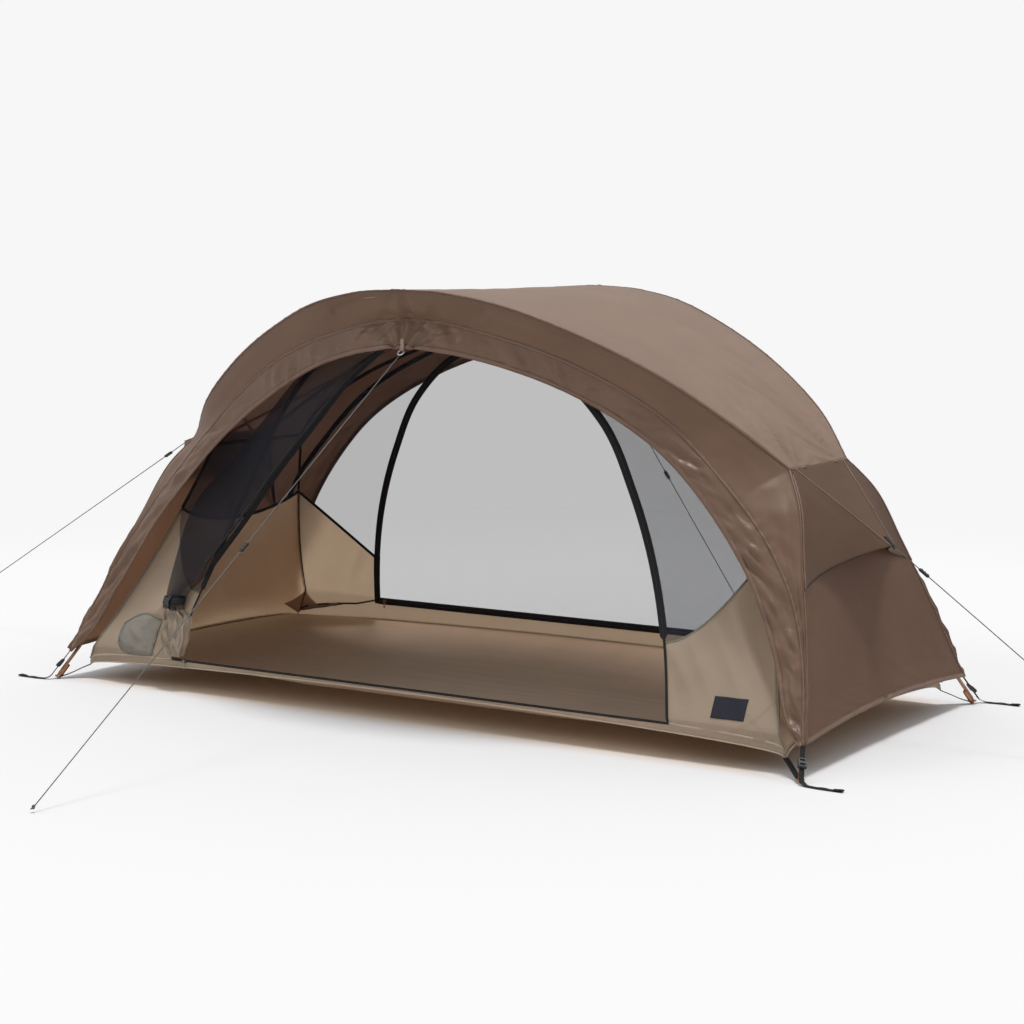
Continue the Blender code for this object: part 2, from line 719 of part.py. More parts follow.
PATCH_X = (0.850, 0.932)
PATCH_Z = (0.104, 0.150)
patch_grid = [[on_wall(x, z, -1, 0.0031) for x in np.linspace(*PATCH_X, 4)] for z in np.linspace(*PATCH_Z, 3)]
sheet("woven_patch", np.array(patch_grid), INNER_THICK, NAVY)

# Corner webbing, ladder-locks and foot straps, the same at all four corners.

STRAP_TOP = np.array((1.0923, 0.4749, 0.0724))
STRAP_LOW = np.array((1.1150, 0.5270, 0.0100))
TAIL = [(1.1270, 0.5340, 0.0030), (1.1480, 0.5380, 0.0014), (1.1780, 0.5400, 0.0014), (1.2180, 0.5400, 0.0014)]
LOCK_SIZE = (0.026, 0.0190)
LOCK_PROFILE = [(-0.50, -0.0026), (-0.30, -0.0036), (0.30, -0.0036), (0.46, -0.0024), (0.50, 0.0016),
                (0.50, 0.0048), (0.40, 0.0066), (0.20, 0.0062), (0.0, 0.0054), (-0.25, 0.0042), (-0.50, 0.0022)]
LOCK_WINDOWS = [(-0.26, 0.17, 1), (0.16, 0.17, 1), (-0.04, 0.20, -1)]
LOCK_WINDOW_WIDTH = 0.0112


def ladder_lock(name, centre, axes):
    """A curved buckle: side rails joined by bars over and under the strap, with a lip to lift."""
    length, width = LOCK_SIZE
    verts = []
    for side in (-0.5, 0.5):
        for along, out in LOCK_PROFILE:
            verts.append(centre + along * length * axes[0] + side * width * axes[1] + out * axes[2])
    n = len(LOCK_PROFILE)
    faces = [tuple(range(n)), tuple(range(n, 2 * n))]
    faces += [(k, (k + 1) % n, n + (k + 1) % n, n + k) for k in range(n)]
    lock = solid_mesh(name, verts, faces, BLACK)
    slot = (length * 1.2, CORNER_WEBBING + 2 * FIT_GAP, WEBBING_THICK + 2 * FIT_GAP)
    cut_boxes(lock, "strap_slot", centre, axes, [((0, 0, 0), slot)])
    deep = 0.012
    boxes = [((along * length, 0, face * deep / 2), (share * length, LOCK_WINDOW_WIDTH, deep))
             for along, share, face in LOCK_WINDOWS]
    cut_boxes(lock, "windows", centre, axes, boxes)


def corner(label, sx, sy):
    strap = [STRAP_TOP + (STRAP_LOW - STRAP_TOP) * t for t in (0, 0.35, 0.7, 1)]
    strap += [np.array(p) for p in TAIL]
    across = np.array((0.70, -0.70, 0)) * (sx, sy, 1)
    grid = []
    for k, p in enumerate(strap):
        turn = min(max((k - 3) / 2, 0), 1)
        v = np.array((0.70, -0.70, 0)) * (1 - turn) + np.array((0.10, -1.0, 0)) * turn
        v = v / np.linalg.norm(v) * CORNER_WEBBING / 2
        grid.append([(p - v) * (sx, sy, 1), (p + v) * (sx, sy, 1)])
    sheet("corner_strap_" + label, np.array(grid), WEBBING_THICK, BLACK)
    way = (STRAP_LOW - STRAP_TOP) * (sx, sy, 1)
    middle = (STRAP_TOP + (STRAP_LOW - STRAP_TOP) * 0.5) * (sx, sy, 1)
    u, v, w = axes_along(way, across)
    outward = 1 if np.dot(w, (sx, sy, 0)) > 0 else -1
    ladder_lock("ladder_lock_" + label, middle, (u, v, w * outward))
    path = np.array([(1.0410, 0.4528, 0.0362), (1.060, 0.468, 0.026), (1.083, 0.4885, 0.0125), (1.1014, 0.5057, 0.0045)])
    ribbon("foot_strap_" + label, path * (sx, sy, 1), np.array((0.60, -0.80, 0)) * (sx, sy, 1), FOOT_WEBBING,
           WEBBING_THICK, BLACK)


for label, sx, sy in (("front_left", -1, -1), ("front_right", 1, -1), ("rear_right", 1, 1), ("rear_left", -1, 1)):
    corner(label, sx, sy)

# Guylines, each straight and taut, with a knot at its end. The front and rear ones reach the ground.
# The left and right ones are drawn up to a point above it.

GUYLINES = {
    "front": ((-0.0001, -0.4566, 0.8991), (-0.114, -1.607, 0.0040), 0.46),
    "rear": ((-0.0001, 0.4429, 0.9133), (0.139, 1.200, 0.0040), 0.444),
    "left": ((-1.0754, 0, 0.6116), (-1.885, 0, 0.1460), 0.0913),
    "right": ((1.0944, 0, 0.4618), (1.463, 0, 0.1912), 0.2115),
}
ADJUSTER = (0.028, 0.0105, 0.0065)
ADJUSTER_WINDOW = (0.0060, 0.0042)
ADJUSTER_WINDOW_AT = 0.0065
KNOT_LENGTH = 0.020

for label, (start, finish, spot) in GUYLINES.items():
    a = np.array(start)
    b = np.array(finish)
    span = np.linalg.norm(b - a)
    marks = list(np.linspace(0, 1 - 2 * KNOT_LENGTH / span, 12))
    knots = [1 - KNOT_LENGTH / span, 1 - 0.8 * KNOT_LENGTH / span, 1 - 0.3 * KNOT_LENGTH / span, 1]
    fat = [1] * 12 + [1, KNOT_SCALE, KNOT_SCALE, 1]
    rod("guyline_" + label, [a + (b - a) * t for t in marks + knots], LINE_RADIUS, BLACK, 2, fat, 0.7)
    centre = a + (b - a) * spot
    sideways = (1, 0, 0) if label in ("front", "rear") else (0, 1, 0)
    hole = 2 * (LINE_RADIUS + FIT_GAP)
    axes = axes_along(b - a, sideways)
    block = sleeve("guy_adjuster_" + label, centre, axes, ADJUSTER, (hole, hole), BLACK, 0.4)
    deep = ADJUSTER[2]
    boxes = [((side * ADJUSTER_WINDOW_AT, 0, deep / 2), (*ADJUSTER_WINDOW, deep)) for side in (-1, 1)]
    cut_boxes(block, "line_windows", centre, axes, boxes)

HOOK_AT = np.array((0, -0.4494, 0.9064))
HOOK_RADIUS = 0.0085
HOOK_WIRE = 0.0013


def hook():
    """The ring that joins the front guyline to the lip's webbing tab."""
    verts = []
    faces = []
    turns, sides = 16, 8
    down = np.array((0, -0.70, -0.71))
    wide = np.array((1.0, 0, 0))
    out = np.cross(wide, down)
    for k in range(turns):
        a = 2 * math.pi * k / turns
        radial = math.cos(a) * wide + math.sin(a) * down
        for s in range(sides):
            b = 2 * math.pi * s / sides
            verts.append(HOOK_AT + radial * (HOOK_RADIUS + HOOK_WIRE * math.cos(b)) + out * HOOK_WIRE * math.sin(b))
    for k in range(turns):
        for s in range(sides):
            faces.append((k * sides + s, k * sides + (s + 1) % sides,
                          ((k + 1) % turns) * sides + (s + 1) % sides, ((k + 1) % turns) * sides + s))
    solid_mesh("front_guy_ring", verts, faces, STEEL, 0.3, 1.0)


hook()
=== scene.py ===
import json
import math

import bmesh
import bpy
import numpy as np
from mathutils.bvhtree import BVHTree
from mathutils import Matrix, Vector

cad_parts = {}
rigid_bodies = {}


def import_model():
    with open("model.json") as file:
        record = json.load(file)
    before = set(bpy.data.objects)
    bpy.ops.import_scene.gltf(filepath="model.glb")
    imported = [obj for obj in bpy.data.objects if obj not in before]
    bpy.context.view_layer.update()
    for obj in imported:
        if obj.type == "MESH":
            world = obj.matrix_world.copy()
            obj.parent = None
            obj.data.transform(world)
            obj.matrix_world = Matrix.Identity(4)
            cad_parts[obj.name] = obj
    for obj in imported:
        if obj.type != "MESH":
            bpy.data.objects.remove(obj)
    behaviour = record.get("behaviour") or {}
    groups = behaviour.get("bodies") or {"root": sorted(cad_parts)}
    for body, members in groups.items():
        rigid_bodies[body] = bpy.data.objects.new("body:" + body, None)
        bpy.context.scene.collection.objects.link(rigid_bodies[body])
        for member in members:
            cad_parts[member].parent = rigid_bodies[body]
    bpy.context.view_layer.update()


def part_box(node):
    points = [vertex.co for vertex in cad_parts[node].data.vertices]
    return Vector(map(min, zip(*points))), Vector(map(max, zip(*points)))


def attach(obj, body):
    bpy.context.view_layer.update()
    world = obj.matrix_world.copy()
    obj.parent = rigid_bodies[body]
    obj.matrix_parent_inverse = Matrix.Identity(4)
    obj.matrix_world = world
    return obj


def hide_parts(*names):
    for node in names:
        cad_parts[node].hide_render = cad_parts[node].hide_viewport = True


# Cot tent: a brown fly over two crossing hoops, and a mesh inner tent with its front door tied back.
# Metres. +X runs along the tent, -Y is the open front, +Z is up.

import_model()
TENT = "tent"

# Camera, light and floor

CAMERA_PLACE = (3.124, -4.806, 1.141)
CAMERA_TILT = 83.36
CAMERA_TURN = 32.77
CAMERA_LENS = 77.66
SKY_LIGHT = 0.66
SKY_SLOPE = (-0.10, 0.04, 0.20)
SKY_LEAST = 0.12
KEY_LIGHT = 2.15
KEY_SOFTNESS = 13.0
KEY_TILT = (-5.0, 5.0)
FRONT_LIGHT = 0.24
FRONT_SOFTNESS = 22.0
FRONT_TILT = (32.0, -50.0)
BACKGROUND = 0.93
FLOOR_GREY = 0.645
FLOOR_HALF = 30.0
FLOOR_DROP = 0.0006
FLOOR_NEAR = 2.0
FLOOR_FAR = 4.2
# Painted shadow: the floor is coloured darker and warmer under the tent, over a rounded box of this half
# size, fading out between these edges.
PAINTED_SHADOW_TINT = (0.52, 0.435, 0.350, 1)
PAINTED_SHADOW_SIZE = (1.06, 0.52, 1.0)
PAINTED_SHADOW_EDGE = (0.82, 1.04)


def placed(name, data):
    """A new object in the scene."""
    thing = bpy.data.objects.new(name, data)
    bpy.context.scene.collection.objects.link(thing)
    return thing


def place_camera():
    lens = bpy.data.cameras.new("camera")
    lens.lens = CAMERA_LENS
    camera = placed("camera", lens)
    camera.location = CAMERA_PLACE
    camera.rotation_euler = (math.radians(CAMERA_TILT), 0, math.radians(CAMERA_TURN))
    bpy.context.scene.camera = camera


def new_tree(thing):
    thing.use_nodes = True
    thing.node_tree.nodes.clear()
    return thing.node_tree


def node(tree, kind, links=(), fixed=None, **values):
    """A node with its settings, inputs and links. fixed has the inputs whose names can't be keywords."""
    made = tree.nodes.new("ShaderNode" + kind)
    for key, value in values.items():
        if key in made.inputs:
            made.inputs[key].default_value = value
        else:
            setattr(made, key, value)
    for key, value in (fixed or {}).items():
        made.inputs[key].default_value = value
    for key, source in links:
        tree.links.new(source, made.inputs[key])
    return made


def camera_share(tree):
    """One for rays that show the background itself: seen directly or through a net."""
    return node(tree, "LightPath").outputs["Is Camera Ray"]


def light_the_room():
    world = bpy.data.worlds.new("studio")
    bpy.context.scene.world = world
    tree = new_tree(world)
    way = node(tree, "TexCoord")
    slope = node(tree, "VectorMath", [(0, way.outputs["Generated"])], {1: SKY_SLOPE}, operation="DOT_PRODUCT")
    level = node(tree, "Math", [(0, slope.outputs["Value"])], {1: SKY_LIGHT})
    least = node(tree, "Math", [(0, level.outputs[0])], {1: SKY_LEAST}, operation="MAXIMUM")
    lit = node(tree, "Background", [("Strength", least.outputs[0])], Color=(1, 1, 1, 1))
    seen = node(tree, "Background", Color=(1, 1, 1, 1), Strength=BACKGROUND)
    mix = node(tree, "MixShader", [(0, camera_share(tree)), (1, lit.outputs[0]), (2, seen.outputs[0])])
    node(tree, "OutputWorld", [("Surface", mix.outputs[0])])
    for name, power, softness, tilt in (("overhead", KEY_LIGHT, KEY_SOFTNESS, KEY_TILT),
                                        ("front_left", FRONT_LIGHT, FRONT_SOFTNESS, FRONT_TILT)):
        lamp = bpy.data.lights.new(name, "SUN")
        lamp.energy = power
        lamp.angle = math.radians(softness)
        placed(name, lamp).rotation_euler = (math.radians(tilt[0]), math.radians(tilt[1]), 0)


def floor_finish():
    """Matt grey with a painted warm shadow under the tent, which turns into the background far from it."""
    mat = bpy.data.materials.new("studio_floor")
    tree = new_tree(mat)
    place = node(tree, "TexCoord").outputs["Object"]
    reach = node(tree, "VectorMath", [(0, place)], operation="LENGTH")
    far = node(tree, "MapRange", [("Value", reach.outputs["Value"])],
               {"From Min": FLOOR_NEAR, "From Max": FLOOR_FAR}, interpolation_type="SMOOTHSTEP")
    share = node(tree, "Math", [(0, far.outputs["Result"]), (1, camera_share(tree))], operation="MULTIPLY")
    folded = node(tree, "VectorMath", [(0, place)], operation="ABSOLUTE")
    scaled = node(tree, "VectorMath", [(0, folded.outputs[0])], {1: PAINTED_SHADOW_SIZE}, operation="DIVIDE")
    parts = node(tree, "SeparateXYZ", [(0, scaled.outputs[0])])
    under = node(tree, "Math", [(0, parts.outputs["X"]), (1, parts.outputs["Y"])], operation="MAXIMUM")
    # Share of the painted shadow: one under the tent, none beyond its edge.
    painted_shadow_share = node(tree, "MapRange", [("Value", under.outputs["Value"])],
                  {"From Min": PAINTED_SHADOW_EDGE[0], "From Max": PAINTED_SHADOW_EDGE[1]}, interpolation_type="SMOOTHSTEP")
    plain = (FLOOR_GREY, FLOOR_GREY, FLOOR_GREY * 1.01, 1)
    painted_shadow_colour = node(tree, "Mix", [(0, painted_shadow_share.outputs["Result"])], {6: PAINTED_SHADOW_TINT, 7: plain}, data_type="RGBA")
    matt = node(tree, "BsdfDiffuse", [("Color", painted_shadow_colour.outputs[2])])
    glow = node(tree, "Emission", Strength=BACKGROUND)
    mix = node(tree, "MixShader", [(0, share.outputs[0]), (1, matt.outputs[0]), (2, glow.outputs[0])])
    node(tree, "OutputMaterial", [("Surface", mix.outputs[0])])
    return mat


def lay_floor():
    """A pale floor that takes the tent's shadow and runs out into the plain background."""
    mesh = bpy.data.meshes.new("studio_floor")
    s, z = FLOOR_HALF, -FLOOR_DROP
    mesh.from_pydata([(-s, -s, z), (s, -s, z), (s, s, z), (-s, s, z)], [], [(0, 1, 2, 3)])
    floor = placed("studio_floor", mesh)
    mesh.materials.append(floor_finish())


bpy.context.scene.view_settings.view_transform = "Standard"
place_camera()
light_the_room()
lay_floor()

# Lines and surfaces


def arc_lengths(points):
    return np.concatenate([[0], np.cumsum(np.linalg.norm(np.diff(points, axis=0), axis=1))])


def fine(points, count=900):
    """A smooth dense line through the points."""
    p = np.array(points, float)
    t = arc_lengths(p)
    slope = np.gradient(p, t, axis=0)
    u = np.linspace(0, t[-1], count)
    k = np.clip(np.searchsorted(t, u, side="right") - 1, 0, len(t) - 2)
    h = (t[k + 1] - t[k])[:, None]
    s = (u - t[k])[:, None] / h
    return ((2 * s**3 - 3 * s**2 + 1) * p[k] + (s**3 - 2 * s**2 + s) * h * slope[k]
            + (3 * s**2 - 2 * s**3) * p[k + 1] + (s**3 - s**2) * h * slope[k + 1])


def at(points, fractions):
    """Points at the given fractions of a smooth line's length."""
    q = fine(points)
    a = arc_lengths(q)
    w = np.array(fractions) * a[-1]
    return np.stack([np.interp(w, a, q[:, i]) for i in range(q.shape[1])], axis=1)


def whole(half):
    """The full line from the left end to the right end, from its right half."""
    p = np.array(half, float)
    left = p[:0:-1].copy()
    left[:, 0] *= -1
    return np.concatenate([left, p])


def flipped(points, sx=1, sy=1):
    return np.array(points, float) * (sx, sy, 1)


def unit(v):
    return v / np.maximum(np.linalg.norm(v, axis=-1, keepdims=True), 1e-12)


def facing(grid, toward):
    """The grid's normals, on the side of a given direction."""
    n = unit(np.cross(np.gradient(grid, axis=0), np.gradient(grid, axis=1)))
    side = np.sum(n * np.array(toward, float), axis=-1)
    return n * (1.0 if side.sum() >= 0 else -1.0)


LATTICE = 64


def ripple(u, v, seed):
    """Smooth random heights between about -1 and 1, over two coordinates."""
    angle = np.random.default_rng(seed).uniform(0, 2 * math.pi, (LATTICE, LATTICE))
    gx, gy = np.cos(angle), np.sin(angle)
    iu, iv = np.floor(u).astype(int), np.floor(v).astype(int)
    fu, fv = u - iu, v - iv

    def corner(a, b):
        i, j = (iu + a) % LATTICE, (iv + b) % LATTICE
        return gx[i, j] * (fu - a) + gy[i, j] * (fv - b)

    su = fu**3 * (fu * (fu * 6 - 15) + 10)
    sv = fv**3 * (fv * (fv * 6 - 15) + 10)
    low = corner(0, 0) * (1 - su) + corner(1, 0) * su
    high = corner(0, 1) * (1 - su) + corner(1, 1) * su
    return 1.5 * (low * (1 - sv) + high * sv)


def creases(u, v, seed):
    """Like ripple, but with narrow raised folds between shallow hollows."""
    return 1 - 2.4 * np.abs(ripple(u, v, seed))


def fade(x, low, high):
    """Rises smoothly from nothing at low to one at high."""
    t = np.clip((np.asarray(x, float) - low) / (high - low), 0, 1)
    return t * t * (3 - 2 * t)


# Materials


WAVE_PITCH = 0.314
SHINE = {"gloss": "Specular IOR Level", "sheen": "Sheen Weight", "sheen_rough": "Sheen Roughness",
         "alpha": "Alpha", "metallic": "Metallic"}


def finish(name, colour, rough, **shine):
    """A Principled material, its tree and its shader."""
    mat = bpy.data.materials.new(name)
    tree = new_tree(mat)
    inputs = {SHINE[key]: value for key, value in shine.items()}
    shader = node(tree, "BsdfPrincipled", (), {"Base Color": (*colour, 1), **inputs}, Roughness=rough)
    node(tree, "OutputMaterial", [("Surface", shader.outputs[0])])
    mat.diffuse_color = (*colour, 1)
    return mat, tree, shader


def noise(tree, **values):
    """Random blotches over a piece, between 0 and 1."""
    place = node(tree, "TexCoord")
    return node(tree, "TexNoise", [("Vector", place.outputs["Object"])], **values).outputs["Fac"]


def wave(tree, direction, pitch, **values):
    """Even bands at a pitch in metres, between 0 and 1."""
    place = node(tree, "TexCoord")
    return node(tree, "TexWave", [("Vector", place.outputs["UV"])], bands_direction=direction,
                Scale=WAVE_PITCH / pitch, **values).outputs["Fac"]


def ramped(tree, shader, share, dark, light, ends=(0.25, 0.75)):
    """Colours the shader from dark to light by a share between 0 and 1."""
    ramp = node(tree, "ValToRGB", [("Fac", share)])
    for stop, colour, place in zip(ramp.color_ramp.elements, (dark, light), ends):
        stop.color = (*colour, 1)
        stop.position = place
    tree.links.new(ramp.outputs["Color"], shader.inputs["Base Color"])


def tinted(tree, shader, colour, share, low, high):
    """Mixes a darker and a lighter shade of the colour."""
    ramped(tree, shader, share, [c * low for c in colour], [min(1.0, c * high) for c in colour])


def worn(tree, shader, rough, share, less, more):
    """Uneven roughness."""
    spread = node(tree, "MapRange", [("Value", share)], {"To Min": rough - less, "To Max": rough + more})
    tree.links.new(spread.outputs["Result"], shader.inputs["Roughness"])


def bump(tree, height, strength, distance, below=None):
    """The normal of a surface with this relief, laid over another relief if there is one."""
    links = [("Height", height)] if below is None else [("Height", height), ("Normal", below)]
    return node(tree, "Bump", links, Strength=strength, Distance=distance).outputs["Normal"]


def bumped(tree, shader, height, strength, distance, below=None):
    tree.links.new(bump(tree, height, strength, distance, below), shader.inputs["Normal"])


def weave_height(tree, pitch):
    """Crossed threads as a height."""
    warp, weft = (wave(tree, direction, pitch, Distortion=0.4) for direction in "XY")
    return node(tree, "Math", [(0, warp), (1, weft)], operation="MULTIPLY").outputs[0]


def cloth_finish(name, colour, rough=0.62, pitch=0.0012, crinkle=0.35, glow=0.0, low=0.90, high=1.08,
                 crumple=0.0, **shine):
    """Woven fabric: weave, mottling, crinkles and sharp crumples. glow is the share of light let through."""
    mat, tree, shader = finish(name, colour, rough, **shine)
    blotch = noise(tree, Scale=7.0, Detail=4.0, Roughness=0.6)
    tinted(tree, shader, colour, blotch, low, high)
    worn(tree, shader, rough, blotch, 0.07, 0.07)
    soft = bump(tree, noise(tree, Scale=38.0, Detail=3.0, Roughness=0.55, Distortion=0.6), crinkle, 0.0016)
    if crumple:
        place = node(tree, "TexCoord")
        slant = node(tree, "Mapping", [("Vector", place.outputs["UV"])], Rotation=(0, 0, -0.40),
                     Scale=(6.0, 30.0, 1.0))
        ridges = node(tree, "TexNoise", [("Vector", slant.outputs[0])], noise_type="RIDGED_MULTIFRACTAL",
                      Scale=1.0, Detail=2.5, Roughness=0.55, Distortion=0.5)
        soft = bump(tree, ridges.outputs["Fac"], crumple, 0.0030, soft)
    bumped(tree, shader, weave_height(tree, pitch), 0.25, 0.0002, soft)
    if glow:
        through = node(tree, "BsdfTranslucent", [("Normal", soft)],
                       Color=(*[min(1, c * 1.25 + 0.10) for c in colour], 1))
        mix = node(tree, "MixShader", [(1, shader.outputs[0]), (2, through.outputs[0])], Fac=glow)
        out = [n for n in tree.nodes if n.type == "OUTPUT_MATERIAL"][0]
        tree.links.new(mix.outputs[0], out.inputs["Surface"])
    return mat


def net_finish(name, colour, cover, faces=2, weave=0.08):
    """Fine insect netting: threads that cover a share of what lies behind the sheet's one or two faces."""
    share = 1 - (1 - cover) ** (1 / faces)
    mat, tree, shader = finish(name, colour, 0.75, alpha=share, gloss=0.15)
    tinted(tree, shader, colour, noise(tree, Scale=5.0, Detail=3.0), 0.7, 1.4)
    if weave:
        bumped(tree, shader, weave_height(tree, 0.0016), weave, 0.0002)
    return mat


def webbing_finish(name, colour, pitch=0.0018):
    """Flat woven webbing with a herringbone of thick threads."""
    mat, tree, shader = finish(name, colour, 0.75, sheen=0.04, gloss=0.14)
    twill = wave(tree, "DIAGONAL", pitch, Distortion=0.8, Detail=1.0)
    tinted(tree, shader, colour, twill, 0.6, 1.45)
    bumped(tree, shader, twill, 0.6, 0.0004)
    return mat


def cord_finish(name, colour, fleck):
    """Braided cord with a pale tracer thread winding along it."""
    mat, tree, shader = finish(name, colour, 0.7, sheen=0.2)
    braid = wave(tree, "DIAGONAL", 0.0022, Distortion=0.3)
    ramped(tree, shader, braid, colour, fleck, (0.62, 0.90))
    bumped(tree, shader, braid, 0.7, 0.0003)
    return mat


def moulded_finish(name, colour, rough=0.45):
    """Moulded nylon with a fine eroded grain."""
    mat, tree, shader = finish(name, colour, rough, gloss=0.5)
    grain = noise(tree, Scale=900.0, Detail=2.0)
    tinted(tree, shader, colour, grain, 0.8, 1.25)
    bumped(tree, shader, grain, 0.25, 0.0002)
    return mat


def metal_finish(name, colour, rough=0.3, scale=260.0):
    """Metal with fine handling marks and slightly uneven polish."""
    mat, tree, shader = finish(name, colour, rough, metallic=1.0)
    marks = noise(tree, Scale=scale, Detail=4.0)
    tinted(tree, shader, colour, marks, 0.82, 1.1)
    worn(tree, shader, rough, marks, 0.1, 0.12)
    bumped(tree, shader, marks, 0.12, 0.0002)
    return mat


# One brown fly fabric in lit and shaded copies: the roof's lighter brown is painted light from above, the
# hoods' and ends' darker browns are painted shade.
ROOF_BROWN_PAINTED_LIGHT = (0.388, 0.284, 0.221)
HOOD_BROWN_PAINTED_SHADE = (0.224, 0.140, 0.097)
END_BROWN_PAINTED_SHADE = (0.220, 0.142, 0.102)
LINING_BROWN_PAINTED_LIGHT = (0.43, 0.280, 0.185)
SEAM_BROWN = (0.150, 0.085, 0.056)
BEIGE = (0.54, 0.455, 0.362)
# The end walls' beige is a lighter copy of the inner tent's beige: painted light.
WALL_BEIGE_PAINTED_LIGHT = (0.74, 0.620, 0.485)
BEIGE_HEM = (0.42, 0.345, 0.265)
FLOOR_TAN = (0.570, 0.455, 0.350)
NET_BLACK = (0.027, 0.031, 0.048)
TAPE_BLACK = (0.014, 0.013, 0.014)
THREAD_BROWN = (0.095, 0.057, 0.040)

# The roof's finish is painted light, the end's and the hoods' finishes painted shade: one fabric in lighter
# and darker copies.
fly_roof_painted_light = cloth_finish("fly_roof_fabric_painted_light", ROOF_BROWN_PAINTED_LIGHT, 0.44, crinkle=0.45, glow=0.54, gloss=0.40,
                          sheen=0.05, sheen_rough=0.4)
fly_end_painted_shade = cloth_finish("fly_end_fabric_painted_shade", END_BROWN_PAINTED_SHADE, 0.52, crinkle=0.45, glow=0.55, gloss=0.14)
# The lining's lighter brown is painted light, standing in for light let through the fly onto its inside face.
fly_lining_painted_light = cloth_finish("fly_lining_fabric_painted_light", LINING_BROWN_PAINTED_LIGHT, 0.60, crinkle=0.6, glow=0.62, gloss=0.10)
upper_hood = cloth_finish("fly_upper_hood_painted_shade", HOOD_BROWN_PAINTED_SHADE, 0.42, crinkle=0.5, glow=0.40, crumple=0.30,
                          gloss=0.24)
lower_hood = cloth_finish("fly_lower_hood_painted_shade", HOOD_BROWN_PAINTED_SHADE, 0.32, crinkle=0.8, glow=0.40, crumple=0.75,
                          gloss=0.40)
fly_seam = cloth_finish("fly_seam_fabric", SEAM_BROWN, 0.52, crinkle=0.7, gloss=0.45)
beige_fabric = cloth_finish("inner_beige_fabric", BEIGE, 0.58, crinkle=0.5, glow=0.60, crumple=0.16,
                            gloss=0.30)
beige_hem = cloth_finish("beige_hem_tape", BEIGE_HEM, 0.65, crinkle=0.4, gloss=0.3)
wall_painted_light_fabric = cloth_finish("inner_wall_fabric_painted_light", WALL_BEIGE_PAINTED_LIGHT, 0.58, crinkle=0.5, glow=0.60, crumple=0.16)
floor_fabric = cloth_finish("tub_floor_fabric", FLOOR_TAN, 0.48, crinkle=0.5, glow=0.50, low=0.93, high=1.06,
                            gloss=0.4)
netting = net_finish("insect_net", NET_BLACK, 0.45)
side_netting = net_finish("side_net", NET_BLACK, 0.515)
door_netting = net_finish("door_net", (0.013, 0.013, 0.018), 0.56, faces=1, weave=0)
door_foot = cloth_finish("door_foot_fabric", (0.360, 0.290, 0.220), 0.6, crinkle=0.9, glow=0.35, crumple=0.6)
pocket_net = net_finish("pocket_net", (0.22, 0.225, 0.205), 0.55)
black_tape = webbing_finish("black_binding", TAPE_BLACK, 0.0012)
zip_coil = moulded_finish("zip_coil", (0.010, 0.010, 0.011), 0.35)
black_webbing = webbing_finish("black_webbing", (0.016, 0.015, 0.016))
pale_webbing = webbing_finish("pale_webbing", (0.26, 0.205, 0.160))
black_nylon = moulded_finish("black_nylon", (0.010, 0.010, 0.011), 0.5)
zinc = metal_finish("zinc_slider", (0.10, 0.085, 0.075), 0.38)
steel = metal_finish("bright_steel", (0.72, 0.72, 0.70), 0.22)
bronze_tube = metal_finish("bronze_anodised_tube", (0.36, 0.20, 0.12), 0.34, 120.0)
brown_thread = cloth_finish("brown_thread", THREAD_BROWN, 0.7, pitch=0.0006)
beige_thread = cloth_finish("beige_thread", (0.27, 0.215, 0.155), 0.7, pitch=0.0006)
black_thread = cloth_finish("black_thread", (0.03, 0.028, 0.028), 0.7, pitch=0.0006)
guy_cord = cord_finish("guy_cord", (0.030, 0.029, 0.030), (0.20, 0.195, 0.185))
corner_brown = webbing_finish("brown_piping", (0.060, 0.042, 0.033), 0.0012)
olive_binding = cloth_finish("olive_binding", (0.155, 0.138, 0.105), 0.7, crinkle=0.4)
gusset_brown = cloth_finish("gusset_fabric", (0.460, 0.330, 0.225), 0.6, crinkle=0.4, glow=0.50)
copper_tip = metal_finish("copper_tip", (0.42, 0.20, 0.11), 0.35)
rust_cord = cord_finish("rust_cord", (0.22, 0.065, 0.025), (0.34, 0.13, 0.06))
grey_cord = cord_finish("grey_cord", (0.20, 0.195, 0.185), (0.40, 0.39, 0.37))
navy_patch = cloth_finish("navy_patch_weave", (0.020, 0.021, 0.030), 0.75, pitch=0.0010, crinkle=0.3,
                          gloss=0.2)

# Making pieces

FLY_THICK = 0.0008
INNER_THICK = 0.0006
NET_THICK = 0.0004
SEAM_THICK = 0.0009
VISOR_SEAM_THICK = 0.0008
INSIDE_TAPE_THICK = 0.0006
TAPE_THICK = 0.0010
ZIP_TAPE_THICK = 0.0011
PATCH_THICK = 0.0011
GUSSET_THICK = 0.0007
BINDING_THICK = 0.0022
FRONT_BINDING_THICK = 0.0018
WEBBING_THICK = 0.0013
TIE_THICK = 0.0014


def link(name, mesh, mats):
    for mat in mats:
        mesh.materials.append(mat)
    thing = placed(name, mesh)
    mesh.shade_smooth()
    return thing


def uv_mesh(name, verts, faces, places):
    """A mesh with a UV map in metres."""
    mesh = bpy.data.meshes.new(name)
    mesh.from_pydata(verts, [], faces)
    layer = mesh.uv_layers.new(name="metres")
    layer.data.foreach_set("uv", np.array(places, np.float32).ravel())
    return mesh


def mean_run(grid, axis):
    """Distances along one direction of a grid, averaged over the other."""
    steps = np.linalg.norm(np.diff(grid, axis=axis), axis=2)
    return np.concatenate([[0], np.cumsum(np.mean(steps, axis=1 - axis))])


